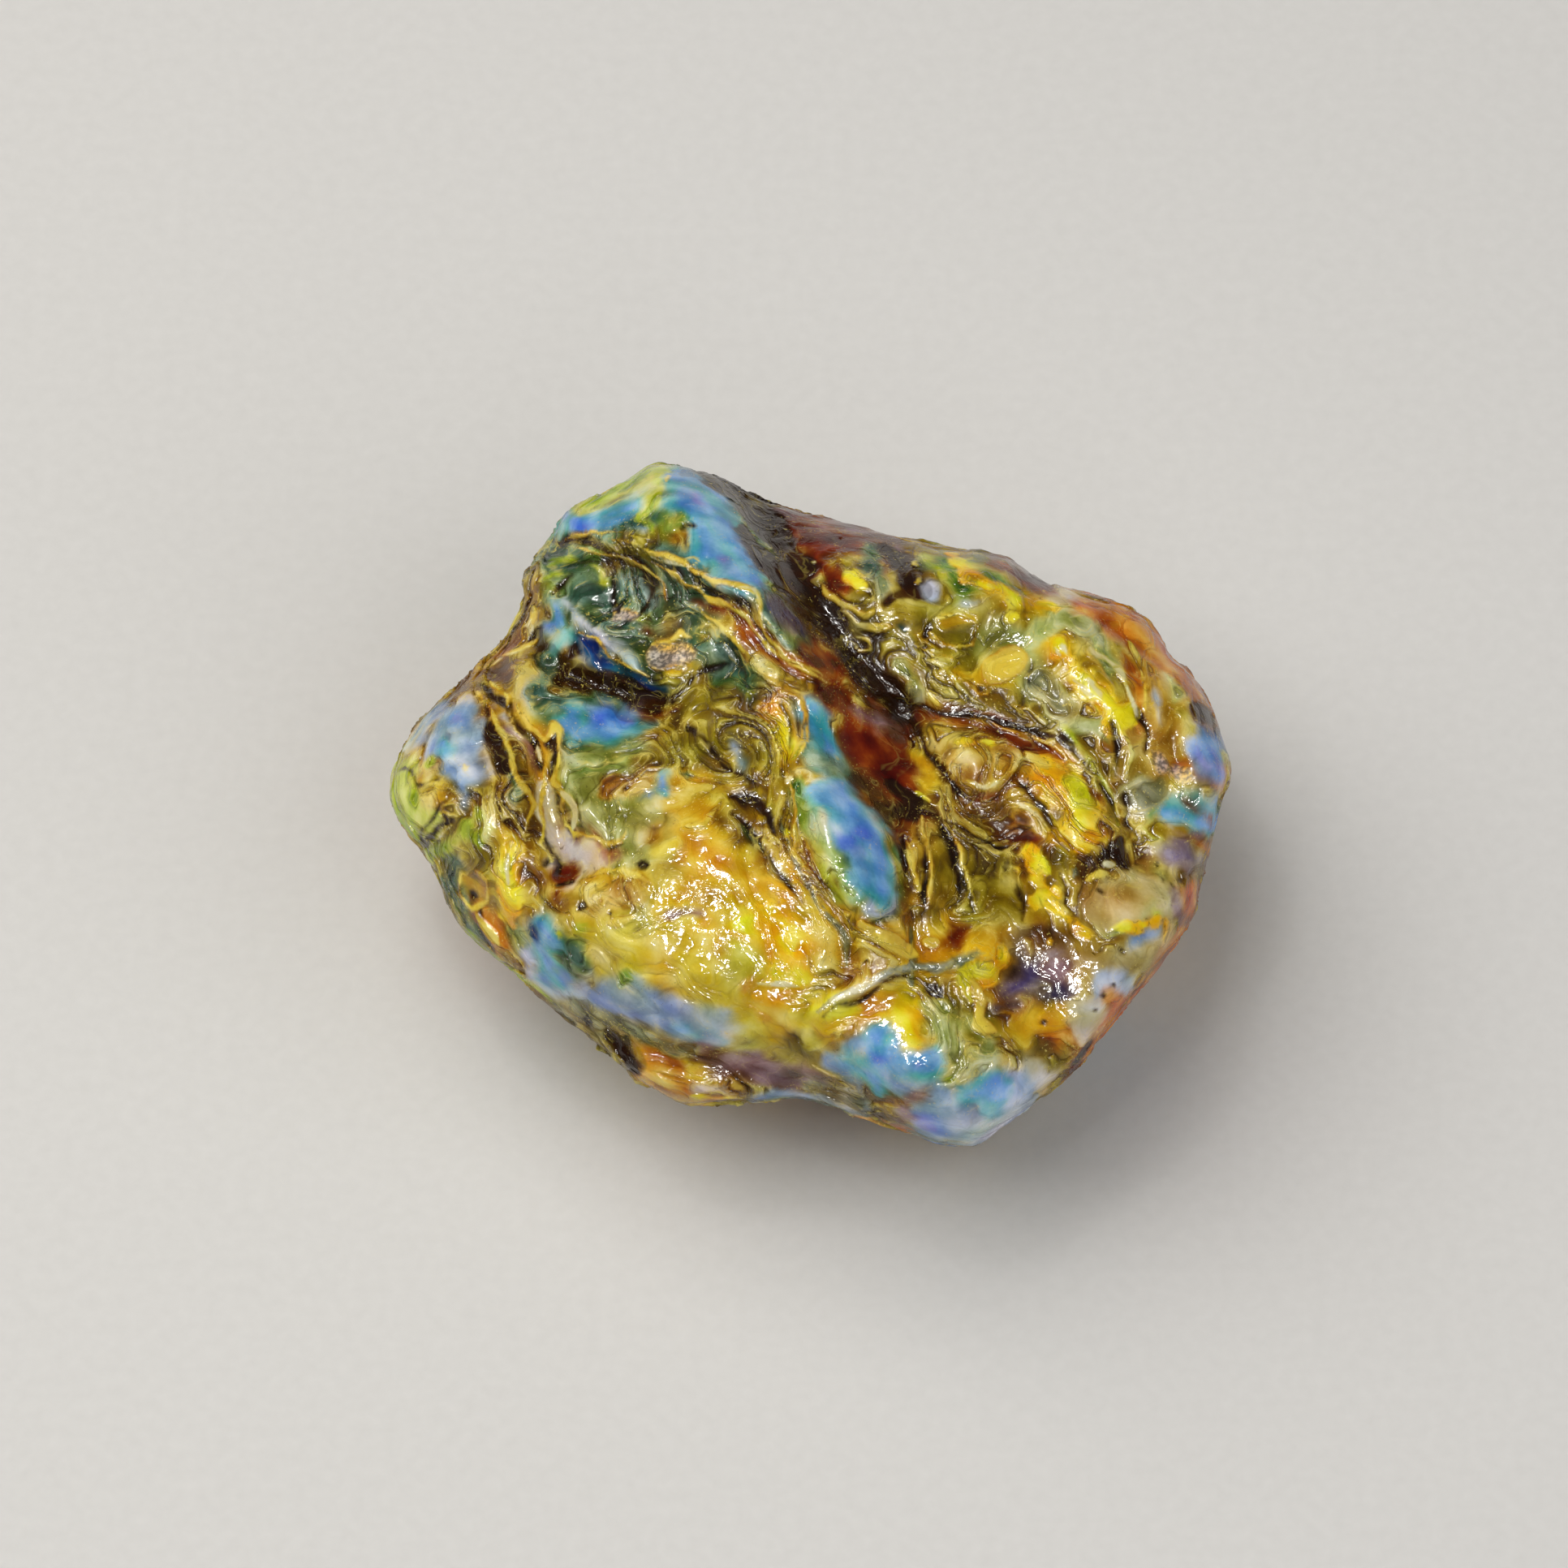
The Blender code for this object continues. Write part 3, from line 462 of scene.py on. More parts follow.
        (0.5, -232, 52, -227, 40, -224, 27), (0.46, -191, 45, -187, 36, -188, 22),
        (0.13, -131, 12, -131, 11), (0.17, -90, 52, -80, 50, -65, 30, -47, 16, -34, 8),
        (0.41, -59, 3, -43, 3, -30, -8, -24, -24),
        (0.93, -23, 174, -10, 158, 5, 144, 17, 127, 28, 105, 43, 89, 65, 75),
        (0.58, 54, 187, 65, 180, 70, 169, 74, 154, 59, 149), (0.2, 35, 117, 36, 116),
        (0.11, 124, 84, 125, 84), (0.13, 147, 100, 148, 100), (0.42, 281, 73, 288, 67, 296, 58),
        (0.6, 216, -40, 225, -31, 227, -42), (0.29, 72, 73, 101, 67, 132, 62, 158, 55, 181, 46, 199, 29),
        (0.2, 92, -9, 101, -31, 107, -52, 103, -77), (0.2, 68, -29, 68, -59),
        (0.25, 154, 18, 165, 2, 175, -15), (0.16, 92, -11, 114, -20, 132, -31, 145, -29),
        (0.26, 65, 69, 81, 47, 97, 22, 110, 8, 119, 3), (0.49, 54, 14, 72, 0, 90, -8),
        (0.2, 238, 69, 246, 52, 244, 34), (0.18, 230, 8, 232, -15, 241, -29),
        (0.14, -241, -75, -239, -92, -229, -110), (0.41, -166, -69, -160, -73),
        (0.14, -146, -79, -145, -79), (0.14, -125, -77, -124, -78), (0.33, -124, -46, -116, -48),
        (0.2, -55, -8, -38, -28, -24, -51, -5, -71), (0.33, -167, -158, -164, -159),
        (0.5, -148, -171, -139, -181, -129, -193), (0.29, 190, -189, 199, -180, 203, -173),
        (0.18, 209, -139, 211, -139), (0.16, 218, -132, 219, -132), (0.16, 202, -152, 203, -153),
        (0.13, 211, -107, 211, -107), (0.2, 252, -48, 254, -48), (0.13, 260, -57, 262, -57),
        (0.18, 167, -161, 169, -162), (0.16, 8, -155, 32, -141, 54, -129, 72, -124),
        (0.4, 81, -131, 88, -138), (0.22, 150, -51, 152, -71),
        (0.13, 181, -51, 185, -65, 183, -75, 191, -84), (0.11, 148, -62, 154, -74, 152, -88),
        (0.1, -196, -25, -191, -34, -194, -42), (0.1, -179, 11, -184, -1, -177, -20),
        (0.1, -170, -1, -165, -16), (0.1, -185, -61, -172, -57), (0.1, -158, -25, -148, -33, -134, -30),
        (1.2, -39, 216, -22, 190, -8, 166), (0.72, -52, 233, -39, 223), (0.12, 77, -13, 85, -43, 82, -73),
        (0.12, 100, -19, 109, -49, 115, -79), (0.12, 143, -37, 142, -61), (0.09, -20, 68, -16, 53, -19, 38),
        (0.11, 88, 131, 85, 120, 94, 112), (0.11, 166, 101, 165, 88), (0.11, 142, 73, 158, 68),
        (0.11, 109, 82, 124, 69), (0.11, 181, 53, 191, 43, 194, 31), (0.11, 220, 59, 226, 41, 223, 23),
        (0.11, 211, 17, 220, 3, 224, -13), (0.1, 212, -60, 215, -63), (0.1, 267, -58, 269, -62),
        (0.09, 226, -105, 229, -109),
    ],
    # Pale threads, and painted highlights where glints lie
    "paleAndGlint": [
        (0.09, -142, 188, -125, 189, -112, 180, -96, 172), (0.1, -96, 178, -88, 180, -83, 177, -90, 172),
        (0.1, -55, 156, -44, 153, -37, 142), (0.1, -224, 120, -208, 134),
        (0.11, -235, 103, -224, 114, -208, 117), (0.16, -254, 26, -251, 24), (0.09, -275, -26, -263, -16),
        (0.11, -202, 42, -199, 29), (0.19, -20, 14, -13, 17), (0.1, -176, 3, -172, -8, -174, -14),
        (0.26, 185, 115, 193, 107), (0.22, 203, 94, 212, 80), (0.1, 83, 105, 97, 96, 106, 84, 114, 80),
        (0.1, 199, 120, 212, 109, 227, 96, 234, 80, 238, 65), (0.16, 116, 18, 128, 13, 141, 18),
        (0.16, 152, 7, 165, -9, 172, -18), (0.1, 278, 74, 280, 73), (0.13, 214, -44, 219, -44),
        (0.12, 1, 176, 3, 176), (0.19, -223, -36, -220, -58), (0.11, -38, -129, -22, -131, -7, -131),
        (0.12, 1, -192, 12, -198, 23, -201), (0.1, 9, -151, 30, -135, 50, -124),
        (0.25, -179, 8, -170, -6, -174, -18), (0.18, 181, 113, 189, 103), (0.16, 194, 93, 202, 83),
        (0.14, 211, 76, 217, 70), (0.14, 145, 156, 158, 150),
    ],
    "glow": [
        (0.9, -47, -90, -30, -96, -20, -110, -13, -124), (0.66, -26, -81, -34, -100),
        (0.78, -23, -89, -14, -107, -5, -122), (0.66, 8, -161, 31, -150, 55, -145, 70, -158),
        (0.42, 64, -158, 74, -170), (0.78, 12, -156, 34, -147, 52, -144, 70, -160, 74, -171),
    ],
}

# Small domes that catch the light: u, v, radius in mm
beads = [
    (-20.2, 15.9, 0.45), (-19.8, 15.3, 0.36), (-19.4, 16.0, 0.36), (-8.9, 22.6, 0.36), (-7.7, 18.3, 0.45),
    (-7.1, 17.8, 0.27), (-5.9, 19.1, 0.36), (-5.8, 16.8, 0.36), (-6.6, 19.6, 0.27), (-17.6, 14.7, 0.36),
    (-17.5, 19.5, 0.36), (-15.0, 19.5, 0.45), (-12.5, 19.1, 0.45), (-12.1, 18.0, 0.54), (-25.3, 3.4, 0.45),
    (-24.8, 2.8, 0.54), (-24.4, 2.3, 0.45), (-25.6, 2.4, 0.36), (-25.1, 0.8, 0.36), (-13.5, -3.1, 0.36),
    (-13.1, -3.6, 0.36), (-11.9, -3.4, 0.45), (-10.6, -3.1, 0.45), (-10.1, -3.1, 0.36), (-10.3, -7.3, 0.45),
    (-9.2, -7.5, 0.45), (-8.5, -8.3, 0.45), (-9.5, -11.1, 0.54), (-8.4, -11.0, 0.54), (-8.0, -12.4, 0.54),
    (-8.5, -12.3, 0.36), (-5.9, -12.0, 0.36), (-5.0, -14.1, 0.45), (-4.0, -14.1, 0.45), (-3.2, -14.1, 0.45),
    (-6.2, -14.7, 0.36), (-7.9, -17.4, 0.36), (-6.2, -17.4, 0.36), (-0.7, -16.6, 0.54), (-0.3, -16.9, 0.54),
    (-2.0, -18.6, 0.45), (-1.3, -19.1, 0.45), (-14.5, -17.9, 0.45), (-13.7, -18.1, 0.45),
    (-13.2, -18.3, 0.36), (-13.4, -19.2, 0.45), (-12.7, -19.2, 0.45), (-2.1, 1.3, 0.63), (-1.6, 1.7, 0.36),
    (2.3, -3.7, 0.36), (2.2, -3.9, 0.45), (3.5, -4.8, 0.45), (3.7, -5.1, 0.45), (1.5, -5.5, 0.45),
    (3.1, -5.7, 0.45), (3.4, -6.5, 0.54), (3.7, -6.9, 0.45), (-2.0, -7.2, 0.36), (-0.8, -6.9, 0.36),
    (1.1, -7.9, 0.45), (-1.3, -16.1, 0.45), (-0.2, -16.4, 0.45), (0.5, -19.4, 0.54), (1.3, -19.8, 0.54),
    (3.1, -18.7, 0.36), (8.5, -22.4, 0.36), (9.2, -23.5, 0.36), (10.3, -22.2, 0.36), (12.3, 14.8, 0.36),
    (18.2, 11.7, 0.45), (18.8, 10.9, 0.45), (19.6, 9.6, 0.45), (20.5, 9.0, 0.45), (-0.1, 13.0, 0.36),
    (10.0, 11.0, 0.36), (19.1, -3.8, 0.36), (21.6, -4.6, 0.36), (26.2, -0.8, 0.36), (25.4, -8.7, 0.36),
    (25.9, -9.2, 0.36), (14.8, -11.8, 0.27), (13.6, -14.8, 0.36), (13.0, -16.4, 0.36), (9.1, -20.7, 0.36),
    (13.6, -19.3, 0.36), (-3.7, -1.2, 0.36), (-4.5, -3.3, 0.36), (-7.4, -5.5, 0.36),
]

# Each resin: colour at its core and at its rim, how soft and how ragged its border is in mm, how far it
# stands proud in mm, how calm the marbling is in it, and how wide its dark seam is in mm, 0 for none.
# Strokes are laid in this order
resins = {
    "olive": ("#ab9a28", "#c8b236", 0.60, 0.9, 0.00, 0.00, 0.0),
    "bronze": ("#8c660e", "#ba9218", 0.55, 0.9, 0.00, 0.00, 0.0),
    "tan": ("#cca240", "#e0be4c", 0.22, 0.5, 0.10, 0.20, 0.4),
    "straw": ("#f2dc50", "#f2e074", 0.45, 0.7, 0.04, 0.90, 0.0),
    "honey": ("#f2c832", "#f4d648", 0.50, 0.8, 0.02, 0.90, 0.0),
    "sage": ("#b0ba70", "#ccce84", 0.30, 0.6, 0.08, 0.50, 0.3),
    "fog": ("#dcc88c", "#d4bc70", 0.70, 1.2, 0.02, 0.80, 0.0),
    "cream": ("#f4ecde", "#f0e2b8", 0.24, 0.7, 0.06, 0.88, 0.5),
    "haze": ("#a8c0e0", "#aec6d6", 0.45, 0.6, 0.03, 0.86, 0.0),
    "milk": ("#e2ecf4", "#cad8e4", 0.35, 0.6, 0.05, 0.84, 0.0),
    "rust": ("#7e2e06", "#a64e0a", 0.45, 0.7, -0.02, 0.85, 0.0),
    "ember": ("#f0ac40", "#e09430", 0.40, 0.7, 0.03, 0.72, 0.0),
    "teal": ("#648a78", "#86a070", 0.40, 0.8, -0.02, 0.28, 0.0),
    "green": ("#6ca04e", "#9cb446", 0.32, 0.6, 0.02, 0.35, 0.0),
    "azure": ("#8cc2f2", "#74caca", 0.45, 0.6, 0.04, 0.92, 0.0),
    "cobalt": ("#7ea2f2", "#78b4ea", 0.50, 0.6, 0.00, 0.92, 0.0),
    "navy": ("#245296", "#2a748a", 0.30, 0.4, -0.02, 0.78, 0.0),
    "violet": ("#aab4f0", "#96bcf0", 0.45, 0.6, 0.00, 0.92, 0.0),
    "dusk": ("#54444a", "#725a40", 0.45, 0.8, -0.10, 0.95, 0.0),
    "plum": ("#7e7090", "#98867c", 0.40, 0.6, -0.02, 0.94, 0.0),
    "mauve": ("#ac8c90", "#a07c68", 0.35, 0.5, 0.02, 0.84, 0.0),
    "slate": ("#9c9c72", "#b4a866", 0.35, 0.7, 0.04, 0.45, 0.0),
    "steel": ("#8a968c", "#a2a684", 0.14, 0.3, 0.18, 0.60, 0.4),
    "lime": ("#c6d63a", "#dcde5c", 0.22, 0.5, 0.05, 0.40, 0.0),
    "glow": ("#fff02e", "#ffcc1c", 0.45, 0.9, 0.02, 0.86, 0.0),
    "flash": ("#fff436", "#ffce12", 0.13, 0.8, 0.14, 0.35, 0.3),
    "grain": ("#ccb8a8", "#e8b83c", 0.10, 0.2, 0.14, 0.85, 0.5),
    "umber": ("#1e0e03", "#4a2806", 0.22, 0.3, -0.20, 0.55, 0.0),
    "gold": ("#ffe868", "#dcb02c", 0.08, 0.2, 0.20, 0.50, 0.3),
    # pale threads, and painted highlights where glints lie
    "paleAndGlint": ("#fffac8", "#fae470", 0.08, 0.2, 0.12, 0.85, 0.0),
}

# How the strokes are laid. Lengths are in mm
brushwork = {
    "washStrength": 0.85,
    "strokeStrength": 0.96,
    "backStrength": 0.90,
    "washSoft": (0.25, 0.35),    # a wash's soft border, at least and more with its radius
    "washRagged": (0.30, 0.55),
    "backSoft": (0.20, 0.25),    # the same for the patches of the back
    "backRagged": (0.30, 0.40),
    "swell": 0.6,                # how much the radius swells and shrinks along a stroke
    "taperBelow": 0.45,          # radius under which a stroke tapers at its ends
    "taper": 0.7,
    "coreDepth": (0.3, 0.6),     # how far in the core's colour is reached, at least and more with the radius
    "coreCloud": 0.5,
    "corePuff": 0.9,
    "borderIn": 0.16,            # how far in from the seam its gold thread lies
    "borderWidth": 0.10,
}

# Marbling: strands run beside the creases and round the patches, and are stirred round the whirls
marbling = {
    "creases": [
        [(-5.2, 23.6), (-2.9, 19.7), (0.0, 15.2), (3.1, 11.3), (6.4, 6.8), (9.7, 2.0), (13.9, -2.8)],
        [(6.4, 6.8), (10.9, 5.9), (15.7, 4.1), (19.9, 2.0), (23.2, -1.9), (24.1, -4.3)],
        [(-20.6, 11.6), (-17.9, 9.2), (-13.7, 7.8), (-10.0, 7.6), (-5.6, 10.2)],
        [(-19.4, 19.4), (-16.0, 19.2), (-12.5, 17.0), (-8.6, 16.6), (-3.8, 14.7), (-1.4, 10.8), (0.7, 8.9)],
        [(-23.3, 11.3), (-22.4, 7.7), (-20.6, 5.0), (-19.6, 1.7), (-18.5, -1.9), (-17.6, -4.9)],
        [(-2.3, 5.3), (-1.4, 0.5), (0.1, -4.3), (2.5, -8.5), (2.7, -11.5)],
        [(-20.6, -14.0), (-14.3, -17.5), (-5.9, -19.4), (3.1, -21.7)],
        [(6.4, -1.3), (7.1, -7.3), (7.4, -12.4)],
    ],
    "blend": 1.2,       # mm over which two creases that are close act as one
    "reach": 3.0,       # mm that a crease's pull carries
    "pull": 4.2,        # mm that strands are moved by a crease
    "patchReach": 1.6,  # mm round a patch that strands follow its border
    "patchInside": 2.4, # mm in all over which they do
    "patchPull": 1.2,
    "slant": 42,        # degrees down to the right that strands run elsewhere
    "slantShare": 0.9,
    "depthShare": (0.5, 0.7),  # how much depth moves a strand across and along
    # u, v, radius in mm, and turns
    "whirls": [
        (-14.8, 13.7, 3.6, 0.45), (12.5, 2.3, 2.2, 0.50), (-5.9, 3.7, 2.8, -0.55), (-21.5, 1.7, 2.4, 0.20),
        (-14.3, -6.4, 2.0, 0.45), (14.6, -0.9, 1.8, -0.45), (14.5, 11.9, 3.0, 0.22), (3.1, 16.7, 1.8, -0.40),
        (-8.9, -4.9, 3.4, -0.25), (10.9, -5.5, 2.4, 0.35), (19.5, 8.0, 2.6, -0.35), (-26.0, -3.0, 2.6, 0.35),
        (-12.0, 1.0, 2.6, 0.35), (7.0, -18.0, 2.6, 0.3),
    ],
    "bend": [(6.0, 1.9, 9.1), (2.2, 0.50, 3.3)],  # size and reach in mm, seed
    "strands": [(3.2, 8.0, 3.1), (1.5, 5.0, 8.4), (0.75, 3.2, 4.6)],  # width and length in mm, seed
    # mm of height for a unit of the broadest strand, up from the folds where it is 0, its cap and its middle
    "pillow": (1.00, 0.4, 0.2),
    # Fine relief: level and width on its strand, and mm of height
    "fold": (0.0, 0.05, 0.14),
    "ridge": (0.04, 0.09, 0.20),
    "groove": (-0.17, 0.08, 0.16),
    "fibre": (0.0, 0.12, 0.09),
    "pillowShare": (0.30, 0.70),  # where all is calm, and more where it is lively
    "lineShare": (0.12, 0.88),
    "lull": 0.55,       # calm between the patches, less by a crease
    "creaseStir": 0.7,
    "lullMost": 0.80,
    "still": 0.96,      # calm in a pool and on a dome
    # Pools where it lies still: u, v, radius in mm
    "pools": [(18.6, -11.4, 3.4), (24.0, -8.4, 3.2), (-6.6, -8.6, 5.0), (3.2, -3.6, 2.2), (7.0, -18.6, 2.8)],
    "bead": 0.32,       # height of a dome for its radius
    "backDepth": 1.2,   # how much stronger all this is on the back
    "backLumps": 1.1,
}

# Noise over the surface: size in mm, strength, seed
noises = {
    "edge": (3.4, 0.30, 7.7),        # where the face ends
    "tatter": (1.5, 0.8, 2.1),       # borders of the strokes
    "fineTatter": (0.7, 0.2, 4.7),
    "cloud": (2.6, 1, 8.2),          # width of the strokes
    "puff": (1.7, 1, 5.9),           # cores of the strokes
    "ground": (6.5, 1, 1.4),         # the two resins under all strokes
    "lull": (5.0, 0.9, 6.3),
    "lumps": (2.1, 0.08, 1.9),       # mm of height
    "backLumps": (4.8, 1, 6.6),
    "red": (3.1, 0.16, 2.2),         # slow drift of the hue
    "green": (3.1, 0.10, 6.1),
    "blue": (3.1, 0.25, 9.6),
}

# Fields of small domes: u, v, reach to the right and up, how many, radius, in mm
beadFields = [
    (-8.5, -7.0, 5.5, 4.5, 15, 0.34),
    (-4.0, -14.5, 6.0, 1.6, 12, 0.34),
    (3.2, -4.0, 1.7, 3.6, 12, 0.36),
    (-25.5, 3.5, 2.0, 3.0, 9, 0.42),
    (-6.5, 20.0, 2.2, 2.6, 9, 0.42),
    (-18.0, -10.5, 1.8, 2.4, 8, 0.40),
    (6.0, -19.0, 3.6, 1.8, 8, 0.44),
    (22.0, -7.0, 4.0, 3.0, 6, 0.32),
    (-1.0, 2.0, 2.0, 2.0, 8, 0.38),
]

skinMake = {
    "weld": 0.001,           # mm
    "voxel": 0.19,           # mm
    "smoothing": 6,          # rounds
    "smoothingBehind": 60,
    "edgeFacing": -0.05,     # the face ends where the surface turns this far from the eye
    "frontKept": 0.38,       # share of its triangles that the face keeps
    "backKept": 0.19,
    "paintFades": (-0.30, 0.0),   # facing over which the strokes give way to the patches of the back
    "pushTurns": (0.02, 0.28),    # facing over which the relief turns towards the eye
    # facing over which painted shade deepens the resin towards the rim
    "groundFades": (0.1, 1.6),    # mm above the ground over which the relief grows
    "rimShadeFacing": (0.50, 0.05),
    "standingRounds": 16,
    "wobble": [(4.2, 0.60, 5.3), (1.6, 0.22, 2.9)],  # size and reach in mm, seed
}

# Patches of the unseen back and underside, spaced evenly round it
backPatches = {
    "count": 180,
    "radius": 23,            # mm, the nugget's mean radius
    "kinds": [
        "honey", "olive", "bronze", "teal", "rust", "azure", "bronze", "honey", "sage", "umber", "flash",
        "slate", "ember", "cobalt", "olive", "tan", "plum",
    ],
    "sizes": [4.2, 2.1, 3.2, 1.4, 5.2, 2.6, 1.0],
    "stretch": 0.5,
}


def smoothStep(low, high, value):
    share = np.clip((value - low) / (high - low), 0, 1)
    return share * share * (3 - 2 * share)


def noiseOf(points, size, seed):
    return np.array([noise.noise(p) for p in (points / size + seed).tolist()])


def driftOf(points, size, seed):
    return np.array([noise.noise_vector(p) for p in (points / size + seed).tolist()])


def noiseField(points, name):
    size, strength, seed = noises[name]
    return strength * noiseOf(points, size, seed)


# The points of a stroke in mm
def pathOf(places):
    return [(u / 10, v / 10) for u, v in zip(places[::2], places[1::2])]


# Distance in mm to a path's middle line, more towards its ends where the path tapers
def pathDistance(u, v, path, taper=0):
    nearest = np.full(u.shape, np.inf)
    ends = path[1:] or path
    lengths = [math.dist(start, end) for start, end in zip(path, ends)]
    whole, before = max(sum(lengths), 1e-9), 0
    for (startU, startV), (endU, endV), length in zip(path, ends, lengths):
        runU, runV = endU - startU, endV - startV
        share = np.clip(((u - startU) * runU + (v - startV) * runV) / max(length**2, 1e-9), 0, 1)
        away = np.hypot(u - startU - share * runU, v - startV - share * runV)
        if taper:
            along = (before + share * length) / whole
            away = away + taper * (2 * along - 1)**4
        nearest = np.minimum(nearest, away)
        before += length
    return nearest


# Linear colour of a web colour
def tint(web):
    parts = [int(web[i:i + 2], 16) / 255 for i in (1, 3, 5)]
    return (*[c / 12.92 if c <= 0.04045 else ((c + 0.055) / 1.055) ** 2.4 for c in parts], 1)


def paintOf(web):
    return np.array(tint(web)[:3])


def stirred(u, v):
    for middleU, middleV, radius, turns in marbling["whirls"]:
        awayU, awayV = u - middleU, v - middleV
        angle = math.tau * turns * np.exp(-(awayU**2 + awayV**2) / radius**2)
        u = middleU + awayU * np.cos(angle) - awayV * np.sin(angle)
        v = middleV + awayU * np.sin(angle) + awayV * np.cos(angle)
    return u, v


# More small domes, spread round a middle like seeds in a sunflower head
def scattered():
    found = []
    for u, v, reachU, reachV, count, radius in beadFields:
        for number in range(count):
            away = math.sqrt((number + 0.5) / count)
            turn = 2.4 * number + 0.9 * math.sin(3.7 * number)
            size = radius * (1 + 0.35 * math.sin(5.3 * number))
            found.append((u + reachU * away * math.cos(turn), v + reachV * away * math.sin(turn), size))
    return found


# Resin colour of each vertex, how calm it is there, how far it stands proud, how near a patch is,
# and marks for the material. Front is 1 on the face and 0 on the back
def layResins(drawn, wobbly, front):
    u, v = wobbly[:, 0], wobbly[:, 1]
    tatter = noiseField(drawn, "tatter") + noiseField(drawn, "fineTatter")
    cloud = noiseField(drawn, "cloud")
    puff = noiseField(wobbly, "puff")
    ground = smoothStep(-0.25, 0.25, noiseField(wobbly, "ground"))[:, None]

    colour = paintOf(resins["olive"][0]) * ground + paintOf(resins["bronze"][1]) * (1 - ground)
    calm, lift, rough, patchNear = (np.zeros(len(u)) for _ in range(4))
    seam = np.full(len(u), 2.0)
    lines = {kind: np.full(len(u), -1.0) for kind in ("umber", "gold", "paleAndGlint")}

    def lay(kind, radius, where, distance, soft, ragged, strength, cover):
        core, rim, _, _, height, quiet, ink = resins[kind]
        inside = radius * (1 + brushwork["swell"] * cloud[where]) - distance + ragged * tatter[where]
        share = strength * smoothStep(-soft, soft, inside) * cover
        least, more = brushwork["coreDepth"]
        deep = inside + brushwork["coreCloud"] * radius * cloud[where] + brushwork["corePuff"] * puff[where]
        deep = smoothStep(0.0, least + more * radius, deep)[:, None]
        paint = paintOf(core) * deep + paintOf(rim) * (1 - deep)
        colour[where] += (paint - colour[where]) * share[:, None]
        calm[where] += (quiet - calm[where]) * share
        lift[where] += (height - lift[where]) * share
        if strength == brushwork["strokeStrength"]:
            near = np.clip(inside + marbling["patchReach"], 0, marbling["patchInside"]) * cover
            patchNear[where] = np.maximum(patchNear[where], near)
        seam[where] = np.maximum(seam[where], np.where(share > 0.05, inside * 1.5, -1))
        unseen = 2 * (1 - cover)
        if ink:
            away = np.abs(inside) / ink + unseen
            seam[where] = np.where(inside > 0, np.minimum(away, 2), np.minimum(seam[where], away))
            border = brushwork["borderWidth"] - np.abs(inside - brushwork["borderIn"]) - unseen
            lines["gold"][where] = np.maximum(lines["gold"][where], border)
        if kind in lines:
            lines[kind][where] = np.maximum(lines[kind][where], inside - unseen)
        if kind == "grain":
            rough[where] = np.maximum(rough[where], share)

    def brush(kind, radius, places, soft, ragged, strength):
        path = pathOf(places)
        corners = np.array(path)
        low, high = corners.min(axis=0) - 1.7 * radius - 1.5, corners.max(axis=0) + 1.7 * radius + 1.5
        where = (front > 0.01) & (u > low[0]) & (u < high[0]) & (v > low[1]) & (v < high[1])
        where = np.flatnonzero(where)
        taper = brushwork["taper"] * radius if radius < brushwork["taperBelow"] else 0
        distance = pathDistance(u[where], v[where], path, taper)
        lay(kind, radius, where, distance, soft, ragged, strength, front[where])

    def grown(name, radius):
        least, more = brushwork[name]
        return least + more * radius

    for kind, radius, *places in washes:
        brush(kind, radius, places, grown("washSoft", radius), grown("washRagged", radius),
              brushwork["washStrength"])
    for kind, (_, _, soft, ragged, _, _, _) in resins.items():
        for radius, *places in strokes.get(kind, []):
            brush(kind, radius, places, soft, ragged, brushwork["strokeStrength"])

    hidden = np.flatnonzero(front < 0.99)
    outward = wobbly[hidden] / np.linalg.norm(wobbly[hidden], axis=1)[:, None] * backPatches["radius"]
    for number in range(backPatches["count"]):
        height = 1 - 2 * (number + 0.5) / backPatches["count"]
        turn = number * math.pi * (3 - math.sqrt(5))
        across = math.sqrt(1 - height**2)
        middle = np.array([across * math.cos(turn), across * math.sin(turn), height]) * backPatches["radius"]
        along = np.array([math.sin(3.1 * number), math.cos(4.3 * number), math.sin(1.7 * number)])
        gap = outward - middle
        gap -= backPatches["stretch"] * (gap @ along / (along @ along))[:, None] * along
        distance = np.linalg.norm(gap, axis=1)
        kind = backPatches["kinds"][number % len(backPatches["kinds"])]
        radius = backPatches["sizes"][number % len(backPatches["sizes"])]
        near = distance < 2 * radius + 2
        where = hidden[near]
        lay(kind, radius, where, distance[near], grown("backSoft", radius), grown("backRagged", radius),
            brushwork["backStrength"], 1 - front[where])
    return colour, calm, lift, patchNear, {"seam": seam, "rough": rough, **lines}


# A line of relief where a strand is at its level
def reliefLine(strand, name):
    level, width, height = marbling[name]
    return height * np.exp(-((strand - level) / width)**2)


